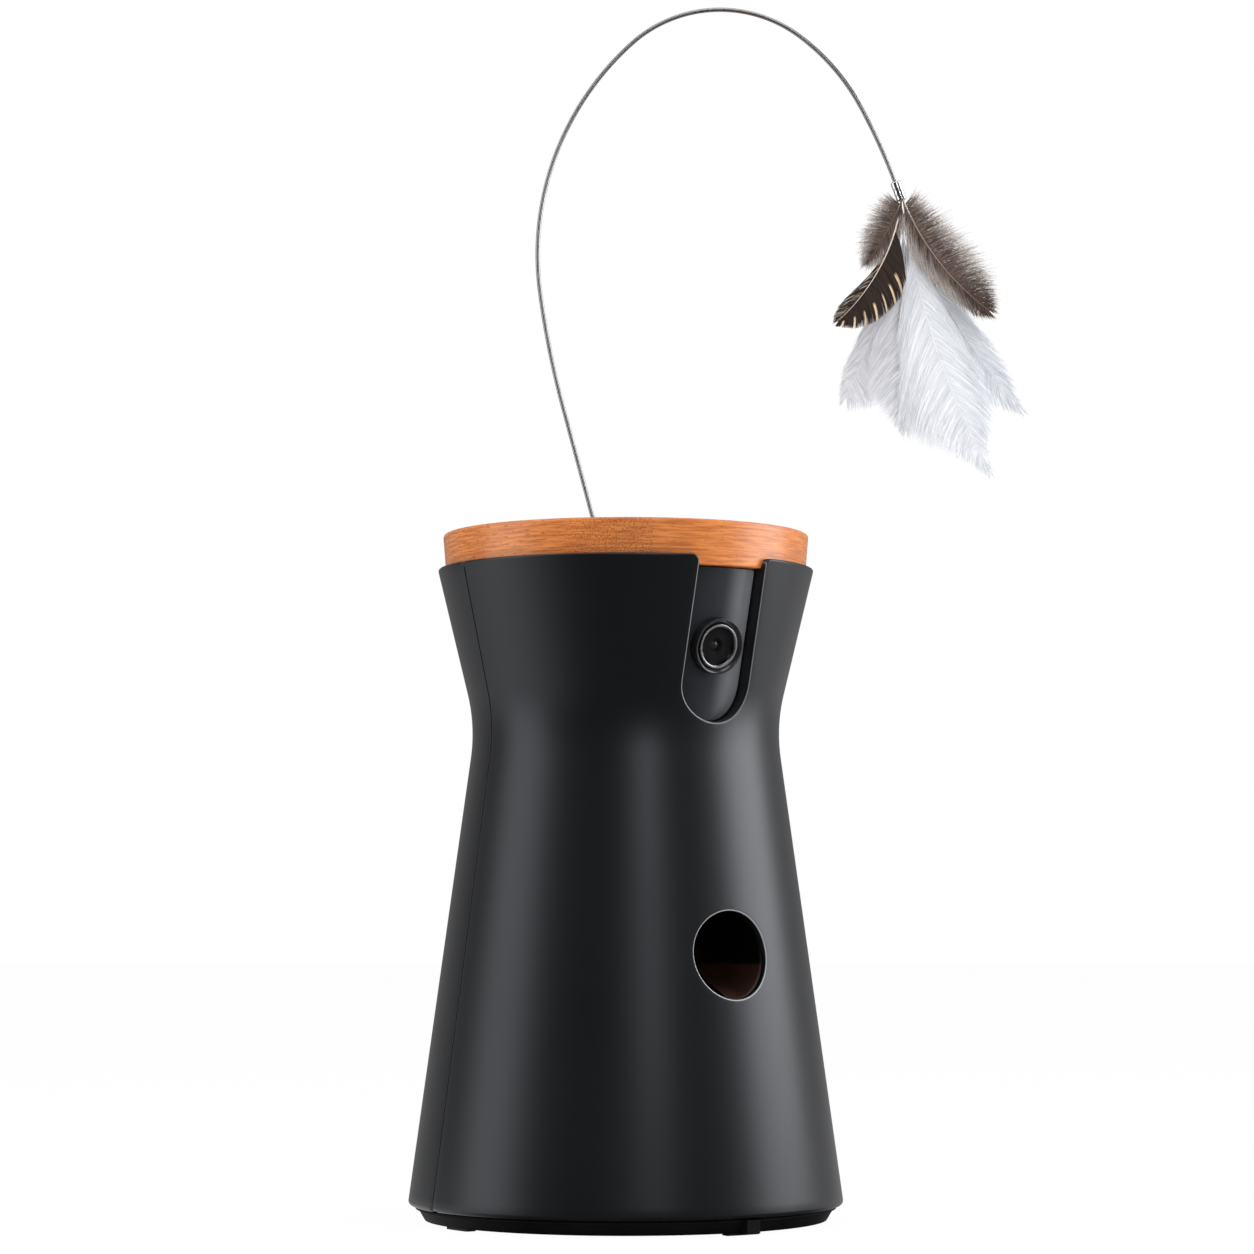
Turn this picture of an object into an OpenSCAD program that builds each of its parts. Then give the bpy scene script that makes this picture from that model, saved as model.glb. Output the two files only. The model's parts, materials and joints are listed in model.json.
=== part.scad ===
// Treat-tossing pet camera: an hourglass housing that turns on a low base, a wooden lid,
// and a spring-wire wand with feathers standing in the lid. Millimetres, Z up, front at -Y.
// The origin is on the table, in the middle of the base.

/* [Housing] */
// Largest outside diameter, just above the foot
foot_d = 142.6; // [136:0.2:150]
// Height of that widest place
foot_z = 7; // [6.4:0.1:7.6]
// Height of the housing's lower edge
skirt_z = 5.5; // [5:0.1:5.9]
// Outside diameter at which the two cones would meet
waist_d = 99.8; // [95:0.2:104]
// Height at which the two cones would meet
waist_z = 162.4; // [157:0.2:167]
// Radius that blends the two cones
waist_blend = 57; // [30:1:70]
// Outside diameter of the top rim
rim_d = 125; // [120:0.2:130]
// Height of the top rim
rim_z = 214.4; // [210:0.2:220]
// Rounding of the rim's outer edge
rim_round = 0.8; // [0.4:0.1:1.2]
// Wall thickness of the two shells
wall = 2.4; // [2:0.1:2.8]
// Width of the ledges inside the shells
ledge_w = 4; // [3.6:0.1:4.6]
// Thickness of those ledges
ledge_t = 2.2; // [1.6:0.1:2.6]
// Distance of the seam behind the axis, at the rim
seam_back = 2.4; // [0.6:0.1:3]
// Angle by which the seam runs back towards the foot
seam_lean = 0.9; // [0:0.1:2.4]
// Gap along the seam
seam_gap = 0.3; // [0.2:0.05:0.5]

/* [Camera] */
// Width of the slot in the front shell
slot_w = 25.5; // [24:0.1:28]
// Height of the slot's lower end
slot_low = 161.8; // [156:0.2:165]
// Thickness of the walls that return into the slot
slot_wall = 1.6; // [1.2:0.1:2]
// Depth of the camera panel below the front surface
recess = 5; // [4:0.1:6]
// Thickness of the camera panel
panel_t = 2.6; // [2:0.1:3]
// Height of the lens
lens_z = 186.3; // [182:0.2:190]
// Outside diameter of the bezel
bezel_d = 16.9; // [15.6:0.1:18]
// Radial width of the bezel's bead
bezel_w = 1.2; // [0.9:0.05:1.4]
// Outside diameter of the ring round the glass
lens_ring_d = 13.5; // [12.6:0.1:13.8]
// Diameter of the glass
glass_d = 12.4; // [11.4:0.1:12.4]
// Diameter of the lens barrel
barrel_d = 9; // [8:0.1:10]
// Length of the lens barrel
barrel_l = 11; // [9:0.1:12]
// Diameter of the front lens element
element_d = 3.8; // [3:0.1:4.6]
// Side of the square camera board
camera_board_w = 22; // [20:0.2:23]
// Clearance between the camera board's connector and the hopper
camera_gap = 1.1; // [0.8:0.1:3]
// Radius of the slot's corners at the rim
slot_corner = 2; // [1:0.1:2.4]

/* [Lid] */
// Diameter of the lid at its top
lid_d = 121.6; // [118:0.2:124]
// Height of the lid's top
lid_top = 225.8; // [222:0.2:230]
// Depth to which the lid sits below the rim
lid_sink = 3.2; // [2.4:0.1:4]
// Angle by which the lid's side leans out
lid_lean = 5; // [3:0.1:6]
// Rounding of the lid's top edge
lid_round = 1.2; // [0.6:0.1:2]
// Clearance between the lid and the rim
lid_gap = 0.45; // [0.35:0.05:0.6]
// Depth of the moulded plug below the lid
plug_h = 8; // [6:0.1:10]
// Clearance between that plug and the hopper
plug_gap = 0.8; // [0.7:0.05:1]

/* [Hopper and tosser] */
// Wall thickness of the hopper
hopper_wall = 1.8; // [1.4:0.1:2.2]
// Thickness of the hopper's flange
flange_t = 2.2; // [2:0.1:2.8]
// Outside diameter of the hopper's neck
neck_d = 27; // [24:0.2:28]
// Height of the paddle wheel's axis
wheel_z = 92; // [90:0.2:94]
// Diameter over the paddles
wheel_d = 38.4; // [36:0.2:39]
// Width of the paddle wheel
wheel_w = 28; // [24:0.2:28.4]
// Number of paddles
paddles = 6; // [4:1:7]
// Inside diameter of the drum
drum_d = 40; // [39.6:0.1:41]
// Wall thickness of the drum
drum_wall = 2; // [1.6:0.1:2.4]
// Inside width of the drum
drum_w = 30; // [29.4:0.1:31]
// Diameter of the wheel's shaft
shaft_d = 5; // [4:0.1:6]
// Diameter of the treat outlet
outlet_d = 28; // [26:0.2:28.6]
// Height of the outlet's centre
outlet_z = 87.4; // [86:0.2:89]
// Height of the launch ramp's inner edge
ramp_z = 84.6; // [82:0.2:86]
// Module of the tosser's gears
tosser_module = 1.25; // [1.2:0.01:1.3]
// Teeth on the drive gear
drive_teeth = 26; // [24:1:27]
// Teeth on the motor's pinion
pinion_teeth = 12; // [12:1:14]
// Diameter of the tosser motor
tosser_motor_d = 20; // [16:0.2:21]
// Length of the tosser motor
tosser_motor_l = 20; // [16:0.2:21]

/* [Base] */
// Height by which the feet stand proud
feet_h = 0.8; // [0.6:0.1:1.2]
// Distance of the ring's upper edge inside the housing
ring_inset = 2.3; // [1.8:0.1:3]
// Distance by which the ring tapers towards the table
ring_taper = 3; // [2:0.1:3.2]
// Height of the base
base_h = 8.4; // [8:0.1:9.4]
// Thickness of the base's deck and walls
base_wall = 2.2; // [1.8:0.1:2.4]
// Width of the lug at the front of the ring
lug_w = 5; // [3:0.1:8]
// Length of each foot along the ring
foot_pad_l = 12; // [8:0.2:16]
// Diameter of the grip pad
grip_d = 60; // [40:1:64]
// Diameter of the hub that the housing turns on
hub_d = 24; // [22:0.2:26]
// Diameter of the way through the hub for wires
hub_bore = 10; // [8:0.2:11]
// Height of the bearing sleeve in the floor
sleeve_h = 6.6; // [5.6:0.1:7.6]
// Wall thickness of that sleeve
sleeve_wall = 4; // [3:0.1:4.4]
// Thickness of the housing's floor
floor_t = 2.4; // [2.2:0.1:3]
// Module of the swivel gears
swivel_module = 1.5; // [1.45:0.01:1.55]
// Teeth on the fixed swivel gear
swivel_teeth = 32; // [30:1:34]
// Teeth on the swivel pinion
swivel_pinion_teeth = 12; // [12:1:14]
// Height of the gears
gear_h = 5; // [4:0.1:5.6]
// Diameter of the swivel motor
swivel_motor_d = 25; // [20:0.2:26]
// Height of the swivel motor
swivel_motor_l = 24; // [20:0.2:26]
// Diameter of the motors' shafts
motor_shaft_d = 3; // [2.4:0.1:3.4]

/* [Electronics] */
// Width of the main board
board_w = 52; // [44:0.5:56]
// Height of the main board
board_h = 50; // [44:0.5:52]
// Height of the main board's lower edge
board_z = 63; // [60:0.5:66]
// Thickness of the boards
board_t = 1.6; // [1:0.1:2]
// Diameter of the speaker
speaker_d = 36; // [35:0.5:38]
// Height of the speaker's axis
speaker_z = 40; // [38:0.5:42]
// Width of the grille's slots
grille_slot = 2; // [1.4:0.1:2.4]
// Height of the grille's slots
grille_h = 22; // [18:0.2:22]
// Distance between the grille's slots
grille_step = 3.6; // [3.4:0.1:3.6]

/* [Wand] */
// Diameter of the spring wire
wire_d = 1.5; // [1.2:0.05:1.8]
// Distance of the wand behind the axis
wand_back = 18; // [10:0.5:24]
// Direction in which the wand hangs, from the right-hand side
wand_turn = -35; // [-90:1:90]
// Angle by which the wire leans back out of the lid
wand_lean = 15; // [8:0.5:20]
// Length of the straight stretch above the lid
wand_straight = 41.6; // [30:0.2:60]
// Radius of the wire at the top of its arch
arch_r = 44.7; // [38:0.1:56]
// Diameter of the plug in the lid
wand_plug_d = 6.4; // [5:0.1:8]
// Diameter of the ferrule at the wire's end
ferrule_d = 3.3; // [2.6:0.1:4]
// Length of the ferrule
ferrule_l = 7; // [5:0.1:9]
// Length of the longest plume
plume_l = 101; // [80:1:120]
// Thickness of the feathers' vanes
vane_t = 0.8; // [0.5:0.05:0.9]
// Diameter of the feathers' quills
quill_d = 0.55; // [0.4:0.05:0.6]

/* [Fits] */
// Radial clearance of turning and sliding fits
run_fit = 0.05; // [0.03:0.01:0.08]
// Clearance round pieces that seat in one another
seat_gap = 0.2; // [0.1:0.05:0.25]
// Clearance between pieces that move past one another
move_gap = 0.4; // [0.3:0.05:0.5]
// Backlash of the gears
backlash = 0.2; // [0.15:0.01:0.3]
// Diameter of the screws
screw_d = 2.2; // [1.8:0.1:2.4]
// Diameter of the screw heads
screw_head_d = 3.6; // [3:0.1:3.8]
// Height of the screw heads
screw_head_h = 1.4; // [1:0.1:1.6]

/* [Hidden] */
$fn = 96;
span = 400;
charcoal = "#3b3c40";
dark = "#1d1e20";
wood = "#c8864a";
steel = "#b9bcc0";
brass = "#c9a24a";
rubber = "#26272a";
board_green = "#2d5a45";
nylon = "#d9d5c8";
down_brown = "#96877f";
plume_white = "#f2f3f6";

// Housing: two cones and the arc between them
foot_r = foot_d / 2;
waist_r = waist_d / 2;
rim_r = rim_d / 2;
lower_run = (foot_r - waist_r) / (waist_z - foot_z);
upper_run = (rim_r - waist_r) / (rim_z - waist_z);
lower_a = atan(lower_run);
upper_a = atan(upper_run);
blend_l = waist_blend * tan((lower_a + upper_a) / 2);
// The arc bites this far into the cones, so that it meets them at a crease too faint to see
blend_bite = 0.002;
blend_from = [waist_r + blend_l * sin(lower_a), waist_z - blend_l * cos(lower_a)];
blend_to = [waist_r + blend_l * sin(upper_a), waist_z + blend_l * cos(upper_a)];
blend_mid = blend_from + waist_blend * [cos(lower_a), sin(lower_a)];
function lower_r(z) = waist_r + (waist_z - z) * lower_run;
function upper_r(z) = waist_r + (z - waist_z) * upper_run;
function blend_r(z) = blend_mid[0] - sqrt(pow(waist_blend, 2) - pow(z - blend_mid[1], 2));
function body_r(z) = z < blend_from[1] ? lower_r(z) : z > blend_to[1] ? upper_r(z) : blend_r(z);
foot_round = foot_z - skirt_z;

// Levels from the table up
glide_t = 0.6;
glide_gap = 0.1;
floor_z = base_h + glide_t + glide_gap;
floor_top = floor_z + floor_t;
floor_ledge_r = body_r(floor_z) - wall - ledge_w;
gear_z = floor_z + sleeve_h + seat_gap;
gear_top = gear_z + gear_h;
lid_z = rim_z - lid_sink;
deck_z = lid_z - flange_t;
deck_ledge_r = body_r(deck_z) - wall - ledge_w;
panel_top = lid_z - seat_gap;

// Base
drum_gap = 2 * move_gap;
base_r = floor_ledge_r - drum_gap;
ring_top_z = skirt_z - move_gap;
ring_top_r = foot_r - ring_inset;
ring_low_r = ring_top_r - ring_taper;
ring_lip_h = 0.6;
ring_lip_in = 0.8;
deck_under = base_h - base_wall;
tray_r = base_r - base_wall;
hub_r = hub_d / 2;
foot_pad_w = ring_low_r - tray_r - 1;
foot_pad_r = (ring_low_r + tray_r) / 2;
foot_seat = 0.6;
cover_t = 2;
cover_web = 0.8;
cover_screw_z = feet_h + cover_t - cover_web;
cover_screw_r = grip_d / 2 + screw_head_d + 4;
cover_screw_angles = [45, 135, 225, 315];
boss_wall = 1.2;
grip_seat = 0.6;
lug_in = 0.6;
channel_w = 13;
inlet_w = 9;
inlet_h = 3.2;
inlet_l = 7.4;
inlet_back = 34;
inlet_board_w = 20;
inlet_board_l = 16;
inlet_board_t = 1;
glide_r = 42;
glide_w = 8;
gear_screw_r = (hub_bore / 2 + hub_r) / 2;
gear_screw_angles = [0, 120, 240];
gear_screw_l = gear_h + 5;
floor_screw_r = floor_ledge_r + ledge_w / 2;
floor_screw_angles = [45, 90, 135, 225, 270, 315];

// Swivel drive
pressure = 25;
swivel_y = -swivel_module * (swivel_teeth + swivel_pinion_teeth) / 2 - backlash / 2;
swivel_tip_r = swivel_module * (swivel_teeth / 2 + 1);
swivel_pinion_tip_r = swivel_module * (swivel_pinion_teeth / 2 + 1);
bracket_gap = 1.5;
bracket_t = 2.5;
bracket_z = gear_top + bracket_gap;
swivel_motor_z = bracket_z + bracket_t;
bracket_x = swivel_pinion_tip_r + 3;
bracket_leg = 3;
bracket_l = swivel_motor_d - 3;
shaft_grip = 6;

// Chassis that carries the tosser
chassis_x = swivel_tip_r + 3;
chassis_t = 4;
chassis_l = 20;
chassis_deck = 3;
chassis_z = gear_top + screw_head_h + 2.5;

// Tosser, turning about the X axis
wheel_r = wheel_d / 2;
drum_r = drum_d / 2;
drum_or = drum_r + drum_wall;
drum_x = drum_w / 2;
shaft_r = shaft_d / 2;
bush_r = shaft_r + 1.5;
bush_out = 1.5;
wheel_hub_r = shaft_r + 3.5;
paddle_t = 2.5;
drive_x = drum_x + drum_wall + bush_out + move_gap;
drive_tip_r = tosser_module * (drive_teeth / 2 + 1);
tosser_plate_x = drive_x + gear_h + 1.2;
tosser_plate_t = 2.5;
tosser_motor_x = tosser_plate_x + tosser_plate_t;
mesh_l = tosser_module * (drive_teeth + pinion_teeth) / 2 + backlash / 2;
mesh_a = -40;
pinion_yz = [mesh_l * cos(mesh_a), wheel_z + mesh_l * sin(mesh_a)];
post_r = 2.2;
post_turn = drive_tip_r + move_gap + post_r;
cover_r = max(drum_or, post_turn + post_r + 0.6);
post_angles = [60, 150, 240];
collar_wall = 1.8;
collar_l = 6;
neck_r = neck_d / 2;
neck_low = wheel_z + wheel_r + 1.5;
neck_top = wheel_z + drum_or + collar_l + 1;
outlet_r = outlet_d / 2;
chute_wall = 2;
chute_r = outlet_r + chute_wall;
chute_in = cover_r + 0.6;
chute_out = body_r(outlet_z) - wall;

// Camera
slot_mid = slot_low + slot_w / 2;
slot_depth = recess + panel_t;
slot_back = sqrt(pow(body_r(deck_z) - slot_depth, 2) - pow(slot_w / 2 + slot_wall, 2)) - seat_gap;
lens_out = body_r(lens_z) - recess;
bezel_r = bezel_d / 2;
bezel_front = 0.5;
bezel_back = 6;
bezel_step = 1.2;
lens_ring_r = lens_ring_d / 2;
lens_ring_front = 0.2;
lens_ring_l = 3;
glass_r = glass_d / 2;
glass_t = 1;
glass_front = -0.6;
barrel_r = barrel_d / 2;
barrel_front = glass_front - glass_t - 0.2;
camera_board_z = barrel_front - barrel_l;
barrel_foot = [barrel_r + 1.5, camera_board_z + 3];
barrel_lip = 0.6;
element_r = element_d / 2;
element_z = barrel_front - 2.6;
element_h = 2.2;
camera_post_r = 1.6;
camera_post_x = camera_board_w / 2 - 1.5 * camera_post_r;
socket_in = 1;
socket_h = 2;
socket_w = 4;
camera_back = lens_out - (camera_board_w / 2 - socket_in) * sin(upper_a)
    - (socket_h + board_t - camera_board_z) * cos(upper_a);

// Hopper
hopper_front = camera_back - camera_gap;
hopper_room = 2.4;
hopper_waist_r = body_r(blend_mid[1]) - wall - hopper_room;
hopper_top_r = deck_ledge_r - 1.6;
funnel_z = waist_z - 12;
funnel_r = hopper_waist_r - 2;
hopper_inner = hopper_front - hopper_wall;
function hopper_r(z) =
    hopper_waist_r + (hopper_top_r - hopper_waist_r) * (z - waist_z) / (deck_z - waist_z);
hopper_screw_r = deck_ledge_r + ledge_w / 2 - seat_gap;
hopper_screw_angles = [45, 135, 225, 315];

// Lid
lid_r = lid_d / 2;
lid_low_r = lid_r - (lid_top - lid_z) * tan(lid_lean);
lid_seat_r = lid_low_r + lid_sink * tan(lid_lean) + lid_gap;
plug_low = lid_z - plug_h;
plug_r = hopper_r(plug_low) - hopper_wall - plug_gap;
plug_front = hopper_inner - plug_gap;
plug_wall = 2;
seal_out = plug_gap - 0.3;
seal_h = 3;
seal_z = plug_low + 2;
lid_screw_xy = [[-24, -18], [24, -18], [-24, 30], [24, 30]];
lid_screw_l = 8;

// Wand: a straight stretch, then arcs of [radius, turn] over to the hanging end
wand_arcs = [[6.9 * arch_r, 7.5], [2.2 * arch_r, 54.9], [arch_r, 79.6],
             [1.66 * arch_r, 25.1], [4.7 * arch_r, 8.6]];
hang_turn = [for (a = wand_arcs) a[1]] * [for (a = wand_arcs) 1] - wand_lean;
wire_r = wire_d / 2;
plug_r_wand = wand_plug_d / 2;
bush_wall = 1.8;
bush_r_wand = plug_r_wand + run_fit;
bush_low = lid_z + 3;
bush_floor = 1;
bush_flange = 0.6;
collar_h = 2.2;
wand_foot = bush_low + bush_floor + 1;
wand_bend_r = 8;
bend_mark = 1.04;
wand_bend_z = lid_top + bush_flange + collar_h + 0.6;
ferrule_grip = 3;

// Speaker and main board in the rear shell
speaker_r = speaker_d / 2;
speaker_rim = 2;
speaker_lip = 1.5;
speaker_l = 8.5;
cone_deep = 3.4;
cone_cap = 3;
speaker_seat = sqrt(pow(body_r(speaker_z + speaker_r) - wall, 2) - pow(speaker_r, 2)) - 1;
board_post_r = 2.8;
board_post_in = 4;
board_top = board_z + board_h;
board_back = sqrt(pow(body_r(board_top) - wall, 2) - pow(board_w / 2, 2)) - 3;
board_posts = [for (x = [-1, 1], z = [board_z + board_post_in, board_top - board_post_in])
               [x * (board_w / 2 - board_post_in), z]];
post_screw = 6;
chip_w = 0.38 * board_h;
chip_z = 0.45 * board_h;
chip_t = 2.4;
header_xs = [-board_w / 6, board_w / 6];
header_l = board_w / 5;
header_w = 6;
header_t = 5;
can_d = 5;
can_h = 4;
can_x = 0.35 * board_w;
can_z = 0.33 * board_h;

// Feathers: heading from straight down, tilt towards the back, then as shares of the longest plume
// the length, the bare quill and the widths to the left and right, then the bend along the length,
// where it is widest, and the root across and deep
vane_steps = 12;
row_step = 1.3 * quill_d;
root_step = 0.76 * quill_d;
barred = [-8, -9, 0.505, 0.09, 0.05, 0.07, -40, 0.6, -1, -1.5];
tuft = [-22, -3, 0.25, 0.03, 0.07, 0.045, -14, 0.5, -1, -0.5];
brown = [20, -9, 0.505, 0.05, 0.07, 0.1, 32, 0.55, 1, -1.5];
plume_main = [6, -3, 1, 0.1, 0.14, 0.11, 22, 0.62, 1, -0.5];
plume_mid = [4, 3, 0.81, 0.12, 0.12, 0.1, -6, 0.66, -1, 0.5];
plume_left = [-5, 9, 0.71, 0.12, 0.045, 0.09, -22, 0.6, -1, 1.5];
plume_right = [16, 3, 0.82, 0.14, 0.08, 0.06, 27, 0.62, 1, 0.5];
plume_back = [15, 9, 0.67, 0.14, 0.09, 0.08, 14, 0.6, 1, 1.5];

// The housing's outline from the axis out, drawn in by an inset, between two heights
module band(inset, z0, z1) {
    intersection() {
        translate([-inset, 0]) difference() {
            polygon([[0, -span], [lower_r(-span), -span], blend_from, blend_mid, blend_to,
                     [upper_r(span), span], [0, span]]);
            translate(blend_mid) circle(waist_blend + blend_bite);
        }
        translate([0, z0]) square([span, z1 - z0]);
    }
}

module housing_form(inset, z0, z1) {
    rotate_extrude() band(inset, z0, z1);
}

// What a rounding takes off an outer corner, up or down
module corner_off(r, z, rounding, up) {
    difference() {
        translate([r - rounding, up > 0 ? z : z - rounding - 1]) square([rounding + 2, rounding + 1]);
        translate([r - rounding, z]) circle(rounding);
    }
}

module ledge_section(top) {
    difference() {
        band(wall / 2, top - ledge_t, top);
        square([body_r(top) - wall - ledge_w, span]);
    }
}

module shell_section() {
    difference() {
        union() {
            difference() {
                band(0, skirt_z, rim_z);
                band(wall, skirt_z - 1, rim_z + 1);
            }
            ledge_section(floor_z);
            ledge_section(deck_z);
        }
        translate([0, lid_z]) square([lid_seat_r, span]);
        corner_off(foot_r, foot_z, foot_round, -1);
        corner_off(body_r(rim_z - rim_round), rim_z - rim_round, rim_round, 1);
    }
}

// Everything in front of the seam (side -1) or behind it (side 1)
module seam_half(side) {
    translate([0, seam_back, rim_z]) rotate([seam_lean, 0, 0])
        translate([-span / 2, side > 0 ? seam_gap / 2 : -seam_gap / 2 - span, -span])
            cube([span, span, 2 * span]);
}

module slot_prism(half_w, top) {
    rotate([90, 0, 0]) linear_extrude(span) {
        translate([0, slot_mid]) circle(half_w);
        translate([-half_w, slot_mid]) square([2 * half_w, top - slot_mid]);
    }
}

// The rounding of the slot's two corners at the rim
module slot_flare() {
    at = slot_w / 2 + slot_corner;
    rotate([90, 0, 0]) linear_extrude(span) difference() {
        translate([-at, rim_z - slot_corner]) square([2 * at, 2 * slot_corner]);
        for (x = [-at, at]) translate([x, rim_z - slot_corner]) circle(slot_corner);
    }
}

// A solid along -Y or along X
module to_front(y, z) {
    translate([0, -y, z]) rotate([90, 0, 0]) children();
}

module along_x(x) {
    translate([x, 0, 0]) rotate([90, 0, 90]) children();
}

module around(angles, r) {
    for (a = angles) rotate(a) translate([r, 0, 0]) children();
}

// A screw whose head rests at the origin, with its shank going up from there
module screw(length) {
    cylinder(d = screw_d, h = length);
    translate([0, 0, -screw_head_h]) cylinder(d = screw_head_d, h = screw_head_h);
}

module screw_hole(length) {
    translate([0, 0, -0.01]) cylinder(d = screw_d + 2 * run_fit, h = length);
}

// Involute gear: the half angle of a tooth falls from the pitch circle to the tip
function involute(base, r) = let (a = acos(min(1, base / r))) tan(a) * 180 / PI - a;
function tooth_half(m, teeth, r) =
    let (pitch = m * teeth / 2, base = pitch * cos(pressure))
    90 / teeth - backlash / 4 / pitch * 180 / PI + involute(base, pitch) - involute(base, r);
function flank(m, teeth) =
    let (pitch = m * teeth / 2, root = pitch - 1.25 * m, tip = pitch + m)
    [root, (root + pitch) / 2, pitch, (pitch + tip) / 2, tip];
function on_circle(r, a) = r * [cos(a), sin(a)];
function tooth(m, teeth, at) = concat(
    [for (r = flank(m, teeth)) on_circle(r, at - tooth_half(m, teeth, r))],
    [for (i = [4:-1:0]) let (r = flank(m, teeth)[i]) on_circle(r, at + tooth_half(m, teeth, r))]);

module gear_outline(m, teeth) {
    polygon([for (i = [0:teeth - 1]) each tooth(m, teeth, i * 360 / teeth)]);
}

module d_shape(r, front) {
    intersection() {
        circle(r);
        translate([-span / 2, -front]) square([span, span]);
    }
}

module d_solid(r_of, front) {
    intersection() {
        rotate_extrude() polygon(r_of);
        translate([-span / 2, -front, -span]) cube([span, span, 2 * span]);
    }
}

// Base tray: deck, hub, outer wall and the tapered, lipped ring that shows below the housing
module base_tray() {
    color(dark) difference() {
        union() {
            rotate_extrude() polygon([
                [hub_bore / 2, deck_under], [tray_r, deck_under], [tray_r, feet_h],
                [ring_low_r, feet_h], [ring_top_r - ring_lip_in, ring_top_z - ring_lip_h],
                [ring_top_r, ring_top_z - ring_lip_h], [ring_top_r, ring_top_z], [base_r, ring_top_z],
                [base_r, base_h], [hub_r, base_h], [hub_r, gear_z], [hub_bore / 2, gear_z]]);
            around(cover_screw_angles, cover_screw_r)
                translate([0, 0, feet_h + cover_t])
                    cylinder(d = screw_head_d + 2 * boss_wall, h = deck_under - cover_t);
            intersection() {
                translate([-lug_w / 2, -foot_r + lug_in, feet_h])
                    cube([lug_w, foot_r - base_r, ring_top_z - feet_h]);
                cylinder(r = foot_r - lug_in, h = span);
            }
        }
        translate([-channel_w / 2, tray_r - 2, -1]) cube([channel_w, foot_r, deck_under + 1]);
        around(cover_screw_angles, cover_screw_r)
            translate([0, 0, feet_h + cover_t]) screw_hole(deck_under - feet_h - cover_t);
        around(gear_screw_angles, gear_screw_r)
            translate([0, 0, gear_top - gear_screw_l - 1]) screw_hole(span);
        for (a = [0:90:270]) foot_pad(a, foot_pad_l + 0.1, foot_pad_w + 0.1);
    }
}

module foot_pad(a, l, w) {
    turn = l / foot_pad_r * 180 / PI;
    rotate(a - turn / 2 + (a == 90 ? 14 : 0)) rotate_extrude(angle = turn)
        translate([foot_pad_r - w / 2, 0]) square([w, feet_h + foot_seat]);
}

module rubber_feet() {
    color(rubber) for (a = [0:90:270]) foot_pad(a, foot_pad_l, foot_pad_w);
}

module base_cover() {
    color(dark) difference() {
        translate([0, 0, feet_h]) cylinder(r = tray_r - seat_gap, h = cover_t);
        translate([-channel_w / 2, inlet_back - inlet_l - 1, -1]) cube([channel_w, foot_r, span]);
        around(cover_screw_angles, cover_screw_r) {
            cylinder(d = screw_d + 2 * run_fit, h = span);
            cylinder(d = screw_head_d + 2 * run_fit, h = cover_screw_z);
        }
        translate([0, 0, feet_h - 0.01]) intersection() {
            cylinder(d = grip_d + seat_gap, h = grip_seat + 0.01);
            grip_cut();
        }
    }
}

// The grip pad stops short of the cable channel
module grip_cut() {
    translate([-span / 2, -span, -span / 2]) cube([span, span + inlet_back - inlet_l - 3, span]);
}

module grip_pad() {
    color(rubber) intersection() {
        cylinder(d = grip_d, h = feet_h + grip_seat);
        grip_cut();
    }
}

module cover_screws() {
    color(steel) around(cover_screw_angles, cover_screw_r)
        translate([0, 0, cover_screw_z]) screw(deck_under - cover_screw_z - seat_gap);
}

module inlet_board() {
    color(board_green) translate([-inlet_board_w / 2, inlet_back - inlet_board_l, deck_under - inlet_board_t])
        cube([inlet_board_w, inlet_board_l, inlet_board_t]);
}

module power_inlet() {
    round_r = inlet_h / 2;
    color(steel) translate([0, inlet_back, deck_under - inlet_board_t - round_r]) rotate([90, 0, 0])
        difference() {
            linear_extrude(inlet_l) inlet_outline(round_r);
            translate([0, 0, -1]) linear_extrude(inlet_l - 1) inlet_outline(round_r - 0.35);
        }
}

module inlet_outline(r) {
    side = inlet_w / 2 - inlet_h / 2;
    for (s = [-1, 1]) translate([s * side, 0]) circle(r);
    translate([-side, -r]) square([2 * side, 2 * r]);
}

module glide_ring() {
    color(nylon) translate([0, 0, base_h]) rotate_extrude()
        translate([glide_r - glide_w / 2, 0]) square([glide_w, glide_t]);
}

module swivel_gear() {
    color(nylon) translate([0, 0, gear_z]) difference() {
        linear_extrude(gear_h) difference() {
            rotate(-90) gear_outline(swivel_module, swivel_teeth);
            circle(d = hub_bore);
        }
        around(gear_screw_angles, gear_screw_r) cylinder(d = screw_d + 2 * run_fit, h = span, center = true);
    }
}

module gear_screws() {
    color(steel) around(gear_screw_angles, gear_screw_r)
        translate([0, 0, gear_top]) mirror([0, 0, 1]) screw(gear_screw_l);
}

// Floor of the housing, with the sleeve that turns on the base's hub
module body_floor() {
    color(charcoal) difference() {
        union() {
            housing_form(wall + seat_gap, floor_z, floor_top);
            translate([0, 0, floor_z]) cylinder(r = hub_r + sleeve_wall, h = sleeve_h);
        }
        translate([0, 0, floor_z - 1]) cylinder(r = hub_r + run_fit, h = sleeve_h + 2);
        around(floor_screw_angles, floor_screw_r) translate([0, 0, floor_z]) screw_hole(span);
    }
}

module floor_screws() {
    color(steel) around(floor_screw_angles, floor_screw_r)
        translate([0, 0, floor_z - ledge_t]) screw(ledge_t + floor_t - 0.2);
}

module shell_holes() {
    around(floor_screw_angles, floor_screw_r)
        translate([0, 0, floor_z - ledge_t]) screw_hole(ledge_t + 0.02);
    around(hopper_screw_angles, hopper_screw_r)
        translate([0, 0, deck_z - ledge_t - 1]) screw_hole(ledge_t + 2);
}

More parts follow.
